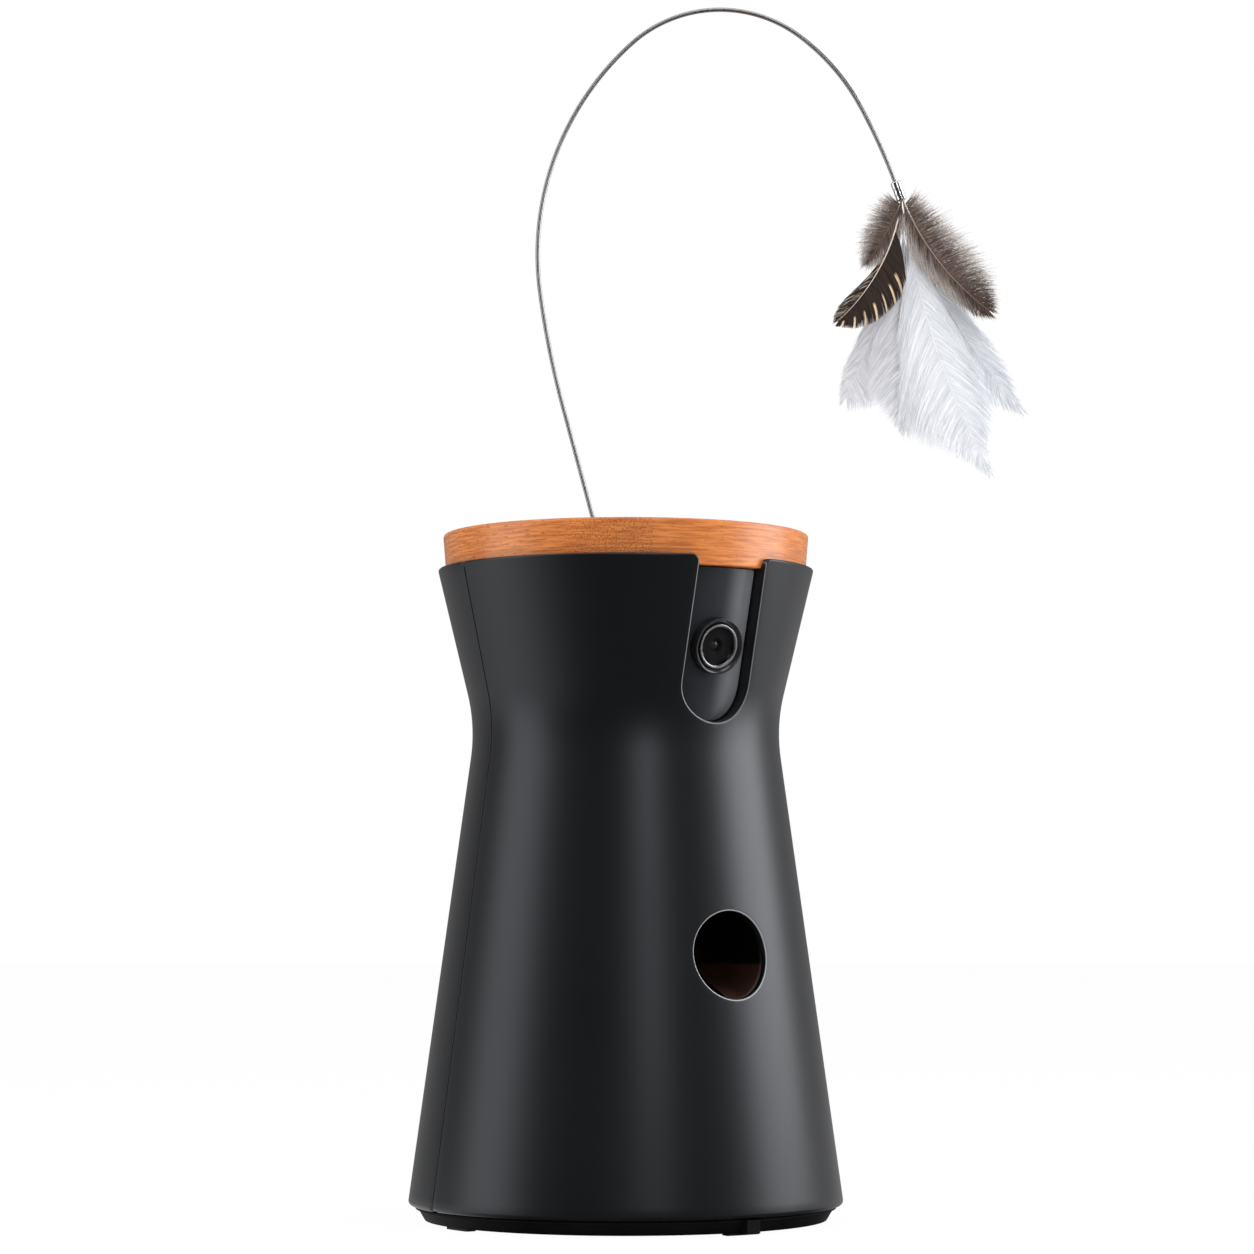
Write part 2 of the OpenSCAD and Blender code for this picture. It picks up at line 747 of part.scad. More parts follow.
// Front shell: the slot with its return walls, and the outlet with a collar for the chute
module front_shell() {
    color(charcoal) difference() {
        union() {
            intersection() {
                rotate_extrude() shell_section();
                seam_half(-1);
            }
            intersection() {
                slot_prism(slot_w / 2 + slot_wall, panel_top);
                difference() {
                    housing_form(wall / 2, slot_low - 2 * slot_wall, panel_top);
                    housing_form(slot_depth, slot_low - 3 * slot_wall, panel_top + 1);
                }
            }
            intersection() {
                to_front(0, outlet_z) cylinder(r = chute_r + seat_gap + collar_wall, h = span);
                difference() {
                    housing_form(wall / 2, 0, waist_z);
                    housing_form(wall + 4, -1, waist_z + 1);
                    to_front(0, outlet_z) cylinder(r = chute_r + seat_gap, h = span);
                }
            }
        }
        slot_prism(slot_w / 2, rim_z);
        slot_flare();
        to_front(0, outlet_z) cylinder(r = outlet_r, h = span);
        shell_holes();
    }
}

// Rear shell: the speaker's seat and grille, and the posts of the main board
module rear_shell() {
    color(charcoal) difference() {
        union() {
            intersection() {
                rotate_extrude() shell_section();
                seam_half(1);
            }
            intersection() {
                housing_form(wall / 2, floor_top + 1, waist_z);
                union() {
                    speaker_at() rotate([180, 0, 0]) cylinder(r = speaker_r + speaker_lip, h = span);
                    for (p = board_posts) post_at(p, 0) cylinder(r = board_post_r, h = span);
                }
            }
        }
        intersection() {
            housing_form(wall, floor_top, waist_z);
            speaker_at() rotate([180, 0, 0]) cylinder(r = speaker_r - speaker_lip, h = span);
        }
        speaker_at() rotate([180, 0, 0]) grille();
        for (p = board_posts) post_at(p, -1) cylinder(d = screw_d + 2 * run_fit, h = post_screw + 1);
        shell_holes();
    }
}

// Grille: upright slots with round ends
module grille() {
    reach = (grille_h - grille_slot) / 2;
    for (i = [-3:3]) translate([i * grille_step, 0, 0]) linear_extrude(span) {
        translate([-grille_slot / 2, -reach]) square([grille_slot, 2 * reach]);
        for (y = [-reach, reach]) translate([0, y]) circle(d = grille_slot);
    }
}

// The speaker looks back (+Y) from a seat a little inside the rear shell
module speaker_at() {
    translate([0, speaker_seat, speaker_z]) rotate([90, 0, 0]) children();
}

module speaker() {
    color(dark) speaker_at() rotate_extrude() polygon([
        [0, cone_deep], [cone_cap, cone_deep - 0.8], [speaker_r - 2 * speaker_rim, 0.6],
        [speaker_r - speaker_rim, 0], [speaker_r, 0], [speaker_r, speaker_rim],
        [speaker_r - 1.5 * speaker_rim, speaker_rim], [speaker_r / 2, cone_deep + speaker_rim],
        [speaker_r / 2, speaker_l], [0, speaker_l]]);
}

// Main board on four posts of the rear shell, its parts facing forward
module post_at(p, back) {
    translate([p[0], board_back + back, p[1]]) rotate([-90, 0, 0]) children();
}

module main_board() {
    color(board_green) difference() {
        translate([0, board_back, board_z]) rotate([90, 0, 0]) {
            translate([-board_w / 2, 0, 0]) cube([board_w, board_h, board_t]);
            translate([-chip_w / 2, chip_z, 0]) cube([chip_w, chip_w, board_t + chip_t]);
            for (x = header_xs) translate([x - header_l / 2, 0, 0])
                cube([header_l, header_w, board_t + header_t]);
            for (x = [-1, 1]) translate([x * can_x, can_z, 0]) cylinder(d = can_d, h = board_t + can_h);
        }
        for (p = board_posts) post_at(p, -board_t - 1) cylinder(d = screw_d + 2 * run_fit, h = board_t + 2);
    }
}

module board_screws() {
    color(steel) for (p = board_posts) post_at(p, -board_t) screw(board_t + post_screw - seat_gap);
}

module swivel_bracket() {
    color(steel) difference() {
        translate([0, swivel_y + bracket_l / 2, 0]) rotate([90, 0, 0]) linear_extrude(bracket_l) {
            translate([-bracket_x - bracket_leg, bracket_z])
                square([2 * (bracket_x + bracket_leg), bracket_t]);
            for (x = [-bracket_x - bracket_leg, bracket_x])
                translate([x, floor_top]) square([bracket_leg, bracket_z - floor_top]);
        }
        translate([0, swivel_y, 0]) cylinder(d = motor_shaft_d + 2 * run_fit, h = span);
        cylinder(r = swivel_tip_r + 2, h = bracket_z - 0.2);
    }
}

module swivel_motor() {
    color(steel) translate([0, swivel_y, swivel_motor_z]) difference() {
        union() {
            cylinder(d = swivel_motor_d, h = swivel_motor_l);
            cylinder(d = swivel_motor_d / 3, h = swivel_motor_l + 2);
        }
        translate([0, 0, -1]) cylinder(d = motor_shaft_d + 2 * run_fit, h = shaft_grip + 2);
    }
}

module swivel_pinion() {
    color(brass) translate([0, swivel_y, gear_z]) {
        linear_extrude(gear_h) rotate(90 + 180 / swivel_pinion_teeth)
            gear_outline(swivel_module, swivel_pinion_teeth);
        cylinder(d = motor_shaft_d, h = swivel_motor_z + shaft_grip - gear_z);
    }
}

// Chassis: a bridge over the swivel gear, with two uprights that cradle the tosser drum
module chassis() {
    color(dark) difference() {
        translate([0, chassis_l / 2, 0]) rotate([90, 0, 0]) linear_extrude(chassis_l) {
            translate([-chassis_x - chassis_t, chassis_z])
                square([2 * (chassis_x + chassis_t), chassis_deck]);
            for (s = [-1, 1]) {
                translate([s * (chassis_x + chassis_t / 2) - chassis_t / 2, floor_top])
                    square([chassis_t, chassis_z - floor_top + chassis_deck]);
                translate([s * (drum_x - chassis_t / 2) - chassis_t / 2, chassis_z])
                    square([chassis_t, wheel_z - chassis_z]);
            }
        }
        translate([0, 0, wheel_z]) along_x(-span / 2) cylinder(r = drum_or + seat_gap, h = span);
    }
}

module drum_form(x0, x1, r) {
    translate([0, 0, wheel_z]) along_x(x0) cylinder(r = r, h = x1 - x0);
}

// Drum round the paddle wheel, with collars for the hopper's neck and for the chute
module tosser_housing() {
    low_x = -drum_x - drum_wall;
    color(charcoal) difference() {
        union() {
            drum_form(low_x, drum_x, drum_or);
            intersection() {
                union() {
                    translate([0, 0, wheel_z])
                        cylinder(r = neck_r + seat_gap + collar_wall, h = neck_top - wheel_z);
                    to_front(0, outlet_z)
                        cylinder(r = chute_r + seat_gap + collar_wall, h = chute_in + collar_l);
                }
                translate([low_x, -span / 2, 0]) cube([drum_x - low_x, span, span]);
            }
        }
        drum_form(-drum_x, drum_x + 1, drum_r);
        translate([0, 0, wheel_z]) cylinder(r = neck_r + seat_gap, h = span);
        to_front(0, outlet_z) cylinder(r = outlet_r, h = span);
        to_front(chute_in - seat_gap, outlet_z) cylinder(r = chute_r + seat_gap, h = span);
        drum_form(low_x - 1, 0, bush_r + run_fit);
    }
}

module tosser_cover() {
    color(charcoal) difference() {
        union() {
            drum_form(drum_x, drum_x + drum_wall, cover_r);
            translate([0, 0, wheel_z]) along_x(drum_x + drum_wall) around(post_angles, post_turn)
                cylinder(r = post_r, h = tosser_plate_x - drum_x - drum_wall);
        }
        drum_form(drum_x - 1, drum_x + drum_wall + 1, bush_r + run_fit);
        translate([0, 0, wheel_z]) along_x(tosser_plate_x - 6) around(post_angles, post_turn)
            cylinder(d = screw_d + 2 * run_fit, h = 7);
    }
}

module shaft_bushes() {
    l = drum_wall + bush_out;
    color(brass) for (x = [-drum_x - l, drum_x]) difference() {
        drum_form(x, x + l, bush_r);
        drum_form(x - 1, x + l + 1, shaft_r + run_fit);
    }
}

module tosser_wheel() {
    color("#b5703a") translate([0, 0, wheel_z]) along_x(-wheel_w / 2) linear_extrude(wheel_w) difference() {
        union() {
            circle(wheel_hub_r);
            for (i = [0:paddles - 1]) rotate(i * 360 / paddles + 15) {
                translate([0, -paddle_t / 2]) square([wheel_r - paddle_t / 2, paddle_t]);
                translate([wheel_r - paddle_t / 2, 0]) circle(d = paddle_t);
            }
        }
        circle(shaft_r + run_fit);
    }
}

module wheel_shaft() {
    color(steel) drum_form(-drum_x - drum_wall - bush_out - 0.5, drive_x + gear_h + 0.6, shaft_r);
}

module drive_gear() {
    color(nylon) translate([0, 0, wheel_z]) along_x(drive_x) linear_extrude(gear_h) difference() {
        rotate(mesh_a) gear_outline(tosser_module, drive_teeth);
        circle(shaft_r + run_fit);
    }
}

module at_pinion(x) {
    translate([x, pinion_yz[0], pinion_yz[1]]) rotate([90, 0, 90]) children();
}

module tosser_pinion() {
    color(brass) {
        at_pinion(drive_x) linear_extrude(gear_h) rotate(mesh_a + 180 + 180 / pinion_teeth)
            gear_outline(tosser_module, pinion_teeth);
        at_pinion(drive_x) cylinder(d = motor_shaft_d, h = tosser_motor_x + shaft_grip - drive_x);
    }
}

module tosser_bracket() {
    lobe_r = tosser_motor_d / 2;
    color(steel) difference() {
        union() {
            translate([0, 0, wheel_z]) along_x(tosser_plate_x) linear_extrude(tosser_plate_t) {
                circle(cover_r);
                rotate(mesh_a) translate([0, -lobe_r]) square([mesh_l, 2 * lobe_r]);
            }
            at_pinion(tosser_plate_x) cylinder(r = lobe_r, h = tosser_plate_t);
        }
        at_pinion(tosser_plate_x - 1) cylinder(d = motor_shaft_d + 2 * run_fit, h = tosser_plate_t + 2);
        translate([0, 0, wheel_z]) along_x(tosser_plate_x - 1) {
            cylinder(r = wheel_hub_r, h = tosser_plate_t + 2);
            around(post_angles, post_turn) cylinder(d = screw_d + 2 * run_fit, h = tosser_plate_t + 2);
        }
    }
}

module tosser_screws() {
    color(steel) translate([0, 0, wheel_z]) along_x(tosser_motor_x) around(post_angles, post_turn)
        mirror([0, 0, 1]) screw(tosser_plate_t + 5);
}

module tosser_motor() {
    color(steel) difference() {
        union() {
            at_pinion(tosser_motor_x) cylinder(d = tosser_motor_d, h = tosser_motor_l);
            at_pinion(tosser_motor_x) cylinder(d = tosser_motor_d / 3, h = tosser_motor_l + 1.5);
        }
        at_pinion(tosser_motor_x - 1) cylinder(d = motor_shaft_d + 2 * run_fit, h = shaft_grip + 2);
    }
}

// Chute from the drum to the outlet, its floor a ramp that falls towards the front
module outlet_chute() {
    low = outlet_z - chute_r;
    color("#7a5238") intersection() {
        union() {
            difference() {
                to_front(chute_in, outlet_z) cylinder(r = chute_r, h = span);
                to_front(0, outlet_z) cylinder(r = outlet_r, h = span);
            }
            intersection() {
                to_front(chute_in, outlet_z) cylinder(r = chute_r, h = span);
                along_x(-chute_r) linear_extrude(2 * chute_r) polygon([
                    [-chute_in, low], [-chute_in, ramp_z], [-chute_out, outlet_z - outlet_r],
                    [-chute_out - 5, low]]);
            }
        }
        housing_form(wall + seat_gap, 0, waist_z);
    }
}

// Hopper: a tapered cup with a flat front, a funnel, a neck and a flange on the shells' ledge
module hopper() {
    cut_w = slot_w / 2 + slot_wall + seat_gap;
    color(charcoal) difference() {
        union() {
            d_solid([[0, neck_low], [neck_r, neck_low], [neck_r, neck_top + 1], [funnel_r, funnel_z],
                     [hopper_waist_r, waist_z], [hopper_top_r, deck_z], [hopper_top_r, lid_z],
                     [0, lid_z]], hopper_front);
            difference() {
                housing_form(wall + seat_gap, deck_z, lid_z);
                translate([-cut_w, -span, 0]) cube([2 * cut_w, span - slot_back, span]);
            }
        }
        d_solid([[0, neck_low - 1], [neck_r - hopper_wall, neck_low - 1],
                 [neck_r - hopper_wall, neck_top + 1], [funnel_r - hopper_wall, funnel_z + 1],
                 [hopper_waist_r - hopper_wall, waist_z], [hopper_top_r - hopper_wall, deck_z],
                 [hopper_top_r - hopper_wall, span], [0, span]], hopper_inner);
        around(hopper_screw_angles, hopper_screw_r) {
            translate([0, 0, deck_z - 1]) screw_hole(span);
            translate([0, 0, lid_z - screw_head_h - 0.1]) cylinder(d = screw_head_d + 0.1, h = span);
        }
    }
}

module hopper_screws() {
    color(steel) around(hopper_screw_angles, hopper_screw_r)
        translate([0, 0, lid_z - screw_head_h - 0.1]) mirror([0, 0, 1])
            screw(flange_t + ledge_t - screw_head_h - 0.3);
}

// Camera: everything stands square to the panel, measured out from its surface
module at_lens() {
    translate([0, -lens_out, lens_z]) rotate([90 + upper_a, 0, 0]) children();
}

module camera_panel() {
    color(charcoal) difference() {
        union() {
            intersection() {
                slot_prism(slot_w / 2 - seat_gap, panel_top);
                difference() {
                    housing_form(recess, slot_low - 5, panel_top);
                    housing_form(slot_depth, slot_low - 6, panel_top + 1);
                }
            }
            intersection() {
                at_lens() for (x = [-1, 1], y = [-1, 1])
                    translate([x * camera_post_x, y * camera_post_x, camera_board_z + board_t])
                        cylinder(r = camera_post_r, h = span);
                housing_form(recess + panel_t / 2, slot_low - 5, panel_top);
            }
        }
        at_lens() cylinder(r = bezel_r + run_fit, h = span, center = true);
    }
}

module camera_bezel() {
    color(dark) at_lens() rotate_extrude() {
        translate([bezel_r - bezel_w, -bezel_back]) square([bezel_w, bezel_back + bezel_front]);
        translate([bezel_r - bezel_w / 2, bezel_front]) circle(bezel_w / 2);
        translate([barrel_r + run_fit, -bezel_back])
            square([bezel_r - bezel_w / 2 - barrel_r, bezel_back - lens_ring_l - bezel_step]);
    }
}

module lens_ring() {
    foot = -lens_ring_l - bezel_step;
    inner = barrel_r + move_gap;
    color(steel) at_lens() rotate_extrude() difference() {
        translate([inner, foot]) square([lens_ring_r - inner, lens_ring_front - foot]);
        translate([0, glass_front - glass_t]) square([glass_r + run_fit, span]);
    }
}

module lens_cover() {
    color([0.1, 0.1, 0.12, 0.6]) at_lens() translate([0, 0, glass_front - glass_t])
        cylinder(r = glass_r, h = glass_t);
}

module lens_barrel() {
    color(dark) at_lens() rotate_extrude() polygon([
        [0, camera_board_z], [barrel_foot[0], camera_board_z], barrel_foot, [barrel_r, barrel_foot[1]],
        [barrel_r, barrel_front], [barrel_r - barrel_lip, barrel_front],
        [element_r + 2 * run_fit, element_z + 1], [element_r + 2 * run_fit, element_z], [0, element_z]]);
}

module lens_element() {
    dome = 1.4 * element_r;
    color("#20242c") at_lens() translate([0, 0, element_z]) intersection() {
        cylinder(r = element_r, h = element_h);
        translate([0, 0, 0.8 * element_h - dome]) sphere(dome);
    }
}

module camera_board() {
    w = camera_board_w;
    color(board_green) at_lens() translate([0, 0, camera_board_z - board_t]) {
        translate([-w / 2, -w / 2, 0]) cube([w, w, board_t]);
        translate([socket_w - w / 2, socket_in - w / 2, -socket_h])
            cube([w - 2 * socket_w, socket_w, socket_h]);
        for (x = [-1, 1], y = [-1, 1]) translate([x * camera_post_x, y * camera_post_x, 0])
            cylinder(r = camera_post_r, h = 2 * board_t - seat_gap / 2);
    }
}

// Lid: a turned wooden disc that nests in the rim
module lid() {
    color(wood) difference() {
        rotate_extrude() difference() {
            polygon([[0, lid_z], [lid_low_r, lid_z], [lid_r, lid_top], [0, lid_top]]);
            corner_off(lid_r - lid_round * tan(lid_lean), lid_top - lid_round, lid_round, 1);
        }
        translate([0, wand_back, bush_low - seat_gap])
            cylinder(r = bush_r_wand + bush_wall + run_fit, h = span);
        for (p = lid_screw_xy) translate([p[0], p[1], lid_z]) screw_hole(lid_screw_l - plug_wall + 0.2);
    }
}

module lid_plug() {
    color(dark) difference() {
        translate([0, 0, plug_low]) linear_extrude(plug_h) d_shape(plug_r, plug_front);
        translate([0, 0, plug_low - 1]) linear_extrude(plug_h + 1 - plug_wall)
            d_shape(plug_r - plug_wall, plug_front - plug_wall);
        for (p = lid_screw_xy) translate([p[0], p[1], plug_low]) screw_hole(span);
    }
}

module lid_seal() {
    color("#8a8d92") translate([0, 0, seal_z]) linear_extrude(seal_h) difference() {
        d_shape(plug_r + seal_out, plug_front + seal_out);
        d_shape(plug_r, plug_front);
    }
}

module lid_screws() {
    color(steel) for (p = lid_screw_xy) translate([p[0], p[1], lid_z - plug_wall]) screw(lid_screw_l);
}

module wand_bush() {
    color(dark) translate([0, wand_back, 0]) difference() {
        union() {
            translate([0, 0, bush_low]) cylinder(r = bush_r_wand + bush_wall, h = lid_top - bush_low);
            translate([0, 0, lid_top]) cylinder(r = bush_r_wand + 2 * bush_wall, h = bush_flange);
        }
        translate([0, 0, bush_low + bush_floor]) cylinder(r = bush_r_wand, h = span);
    }
}

module wand_plug() {
    color(dark) translate([0, wand_back, 0]) difference() {
        union() {
            translate([0, 0, bush_low + bush_floor + seat_gap])
                cylinder(r = plug_r_wand, h = lid_top + bush_flange - bush_low - bush_floor);
            translate([0, 0, lid_top + bush_flange]) cylinder(r = plug_r_wand + bush_wall, h = collar_h);
        }
        translate([0, 0, wand_foot]) cylinder(r = wire_r + run_fit, h = span);
    }
}

// Moves along one arc of the wire, in the plane of the wand
module past_arc(r, turn) {
    side = sign(turn);
    translate([side * r * (1 - cos(turn)), 0, r * sin(abs(turn))]) rotate([0, turn, 0]) children();
}

// One arc of the wire, with the faint swelling that a bending tool leaves where it starts
module wire_arc(r, turn) {
    sphere(d = bend_mark * wire_d);
    rotate(turn > 0 ? 0 : 180) translate([r, 0, 0]) rotate(180, [0, 1, 1])
        rotate_extrude(angle = abs(turn)) translate([r, 0]) circle(d = wire_d);
}

module arcs_drawn(i) {
    if (i < len(wand_arcs)) {
        wire_arc(wand_arcs[i][0], wand_arcs[i][1]);
        past_arc(wand_arcs[i][0], wand_arcs[i][1]) arcs_drawn(i + 1);
    }
}

module past_arcs(i) {
    if (i < len(wand_arcs)) past_arc(wand_arcs[i][0], wand_arcs[i][1]) past_arcs(i + 1) children();
    else children();
}

module at_wand() {
    translate([0, wand_back, wand_bend_z]) rotate(wand_turn) children();
}

module at_straight_end() {
    at_wand() past_arc(wand_bend_r, -wand_lean) translate([0, 0, wand_straight]) children();
}

module wand_wire() {
    color(steel) {
        translate([0, wand_back, wand_foot + seat_gap])
            cylinder(d = wire_d, h = wand_bend_z - wand_foot - seat_gap);
        at_wand() {
            wire_arc(wand_bend_r, -wand_lean);
            past_arc(wand_bend_r, -wand_lean) {
                sphere(d = bend_mark * wire_d);
                cylinder(d = wire_d, h = wand_straight);
            }
        }
        at_straight_end() arcs_drawn(0);
    }
}

module wand_ferrule() {
    color(steel) at_straight_end() past_arcs(0) translate([0, 0, -ferrule_grip]) difference() {
        cylinder(d = ferrule_d, h = ferrule_l);
        translate([0, 0, -1]) cylinder(d = wire_d + 2 * run_fit, h = ferrule_grip + 1 + seat_gap);
    }
}

// A feather: a bare quill, then a vane that follows a bent midline and swells to its widest place
function midline(f, t) =
    let (turn = max(0.01, abs(f[6])), r = plume_l * f[2] / turn * 180 / PI)
    [sign(f[6]) * r * (1 - cos(turn * t)), -r * sin(turn * t)];
function across(f, t) = [cos(f[6] * t), sin(f[6] * t)];
function swell(f, s) = sin(180 * pow(s, ln(0.5) / ln(f[7])));
function vane_edge(f, side) = [for (i = [0:vane_steps])
    let (s = i / vane_steps, t = (f[3] + (f[2] - f[3]) * s) / f[2])
    midline(f, t) + side * plume_l * (side < 0 ? f[4] : f[5]) * (swell(f, s) + 0.04) * across(f, t)];
function reversed(list) = [for (i = [len(list) - 1:-1:0]) list[i]];

module feather(f) {
    root = [f[8] * -root_step, f[9] * row_step, ferrule_l - ferrule_grip + seat_gap];
    at_straight_end() past_arcs(0) translate(root)
        rotate([0, -hang_turn - f[0], 0]) rotate([f[1], 0, 0]) {
            translate([0, vane_t / 2, 0]) rotate([90, 0, 0]) linear_extrude(vane_t)
                polygon(concat(vane_edge(f, -1), reversed(vane_edge(f, 1))));
            rotate([0, 180, 0]) cylinder(d = quill_d, h = plume_l * (f[3] + 0.02));
        }
}

module barred_feather() {
    color("#4a3a2e") feather(barred);
}

module down_tuft() {
    color(down_brown) feather(tuft);
}

module brown_feather() {
    color(down_brown) feather(brown);
}

module white_plume_main() {
    color(plume_white) feather(plume_main);
}

module white_plume_mid() {
    color(plume_white) feather(plume_mid);
}

module white_plume_left() {
    color(plume_white) feather(plume_left);
}

module white_plume_right() {
    color(plume_white) feather(plume_right);
}

module white_plume_back() {
    color(plume_white) feather(plume_back);
}

base_tray();
base_cover();
grip_pad();
rubber_feet();
cover_screws();
power_inlet();
inlet_board();
glide_ring();
swivel_gear();
gear_screws();
body_floor();
floor_screws();
front_shell();
rear_shell();
swivel_bracket();
swivel_motor();
swivel_pinion();
chassis();
tosser_housing();
tosser_cover();
shaft_bushes();
tosser_wheel();
wheel_shaft();
drive_gear();
tosser_bracket();
tosser_screws();
tosser_motor();
tosser_pinion();
outlet_chute();
hopper();
hopper_screws();
camera_panel();
camera_bezel();
lens_ring();
lens_cover();
lens_barrel();
lens_element();
camera_board();
main_board();
board_screws();
speaker();
lid();
lid_plug();
lid_seal();
lid_screws();
wand_bush();
wand_plug();
wand_wire();
wand_ferrule();
barred_feather();
down_tuft();
brown_feather();
white_plume_main();
white_plume_mid();
white_plume_left();
white_plume_right();
white_plume_back();
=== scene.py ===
"""Looks of a treat-tossing pet camera: a swivelling hourglass housing on a low base,
a turned wooden lid, and a feather wand on an arched spring wire."""

import collections
import json
import math

import bmesh
import bpy
import numpy as np
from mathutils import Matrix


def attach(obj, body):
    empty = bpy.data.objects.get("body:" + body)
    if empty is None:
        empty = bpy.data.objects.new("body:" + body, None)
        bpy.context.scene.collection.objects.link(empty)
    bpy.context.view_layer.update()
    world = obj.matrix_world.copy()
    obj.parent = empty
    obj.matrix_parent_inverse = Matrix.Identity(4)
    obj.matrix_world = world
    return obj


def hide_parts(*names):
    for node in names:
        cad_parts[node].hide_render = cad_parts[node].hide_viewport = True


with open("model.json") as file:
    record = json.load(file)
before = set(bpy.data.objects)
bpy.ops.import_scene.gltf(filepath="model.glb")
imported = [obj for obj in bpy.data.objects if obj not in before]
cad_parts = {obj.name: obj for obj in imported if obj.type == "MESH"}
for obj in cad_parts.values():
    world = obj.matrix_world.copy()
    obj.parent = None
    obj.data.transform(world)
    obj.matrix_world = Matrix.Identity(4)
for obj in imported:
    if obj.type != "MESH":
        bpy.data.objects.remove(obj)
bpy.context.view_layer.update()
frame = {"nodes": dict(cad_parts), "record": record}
nodes = frame["nodes"]
slot_of = {row["node"]: row["material_slot"] for row in frame["record"]["subparts"]}

# Base: a black moulded tray with a bottom cover, four small feet and a grip pad of rubber,
# held together by screws from below. It is finely eroded all over, so it shines only faintly.
MM = 0.001


class Socket:
    """One value or colour inside a material. Sums with it add Math nodes."""

    def __init__(self, tree, out):
        self.tree = tree
        self.out = out

    def node(self, kind, settings, inputs, outlet=0):
        """Adds a node of that type, sets it up, feeds its sockets, and gives one outlet."""
        made = self.tree.nodes.new(kind)
        for key, value in settings.items():
            setattr(made, key, value)
        for key, value in inputs.items():
            if isinstance(value, Socket):
                self.tree.links.new(value.out, made.inputs[key])
            else:
                made.inputs[key].default_value = value
        return Socket(self.tree, made.outputs[outlet])

    def math(self, operation, *others):
        return self.node("ShaderNodeMath", {"operation": operation}, dict(enumerate((self, *others))))

    def __add__(self, other):
        return self.math("ADD", other)

    def __sub__(self, other):
        return self.math("SUBTRACT", other)

    def __rsub__(self, other):
        return self.node("ShaderNodeMath", {"operation": "SUBTRACT"}, {0: other, 1: self})

    def __mul__(self, other):
        return self.math("MULTIPLY", other)

    __radd__ = __add__
    __rmul__ = __mul__

    def between(self, low, high):
        """0 below low, 1 above high, and an even slope with soft ends between them."""
        return self.node("ShaderNodeMapRange", {"interpolation_type": "SMOOTHSTEP"},
                         {"Value": self, "From Min": low, "From Max": high})

    def noise(self, scale, detail=2.0, roughness=0.5, stretch=(1, 1, 1), turn=(0, 0, 0)):
        """Noise on this position, in lumps per millimetre along each turned and stretched axis."""
        sizes = tuple(MM / scale / s for s in stretch)
        moved = self.node("ShaderNodeMapping", {"vector_type": "TEXTURE"},
                          {"Vector": self, "Scale": sizes, "Rotation": turn})
        return self.node("ShaderNodeTexNoise", {},
                         {"Vector": moved, "Scale": 1.0, "Detail": detail, "Roughness": roughness})

    def mix(self, first, second):
        """first where this value is 0, second where it is 1."""
        ends = [end if isinstance(end, Socket) else (*end, 1) for end in (first, second)]
        return self.node("ShaderNodeMix", {"data_type": "RGBA"}, {0: self, 6: ends[0], 7: ends[1]}, 2)

    def part(self, axis):
        return self.node("ShaderNodeSeparateXYZ", {}, {0: self}, axis)


def finish(name, **constant):
    """A new material, its shader, and the position on the piece. Constants go on the shader."""
    material = bpy.data.materials.new(name)
    material.use_nodes = True
    tree = material.node_tree
    shader = tree.nodes["Principled BSDF"]
    for key, value in constant.items():
        shader.inputs[key.replace("_", " ")].default_value = value
    place = tree.nodes.new("ShaderNodeTexCoord")
    return material, shader, Socket(tree, place.outputs["Object"])


def wear(shader, place, **varying):
    """Feeds what changes over the surface into the shader. Height, in millimetres, makes a bump."""
    height = varying.pop("height", None)
    if height is not None:
        bump = place.node("ShaderNodeBump", {}, {"Strength": 1.0, "Distance": MM, "Height": height})
        place.tree.links.new(bump.out, shader.inputs["Normal"])
    for key, value in varying.items():
        place.tree.links.new(value.out, shader.inputs[key.replace("_", " ")])


def moulded(name, dark, light, roughness, grain, depth, **constant):
    """Moulded plastic or rubber: an eroded grain, a slight flow marbling, and rubbed patches."""
    material, shader, place = finish(name, **constant)
    fine = place.noise(grain, 2.0)
    flow = place.noise(0.05, 3.0).between(0.3, 0.7)
    rub = place.noise(0.02, 4.0, 0.6)
    wear(shader, place, Base_Color=flow.mix(dark, light),
         Roughness=roughness - 0.06 + 0.12 * rub + 0.05 * fine, height=depth * fine)
    return material


mouldings = {
    # dark and light of the marbling, roughness, grains per millimetre, depth of the grain
    "rubber": ((0.012, 0.012, 0.013), (0.02, 0.02, 0.021), 0.8, 2.0, 0.05),
    "silicone": ((0.2, 0.21, 0.23), (0.26, 0.27, 0.29), 0.6, 2.0, 0.02),
    "brown_plastic": ((0.028, 0.011, 0.007), (0.036, 0.014, 0.009), 0.5, 3.0, 0.02),
    "orange_plastic": ((0.38, 0.14, 0.04), (0.43, 0.17, 0.05), 0.45, 3.0, 0.02),
    "nylon": ((0.62, 0.6, 0.52), (0.7, 0.68, 0.6), 0.45, 3.0, 0.02),
    "circuit_board": ((0.012, 0.07, 0.035), (0.02, 0.1, 0.05), 0.35, 1.5, 0.03),
}
finishes = {name: moulded(name, *look) for name, look in mouldings.items()}
finishes["black_plastic"] = moulded(
    "black_plastic", (0.004, 0.004, 0.0045), (0.006, 0.006, 0.007), 0.6, 3.0, 0.02, Specular_IOR_Level=0.06)

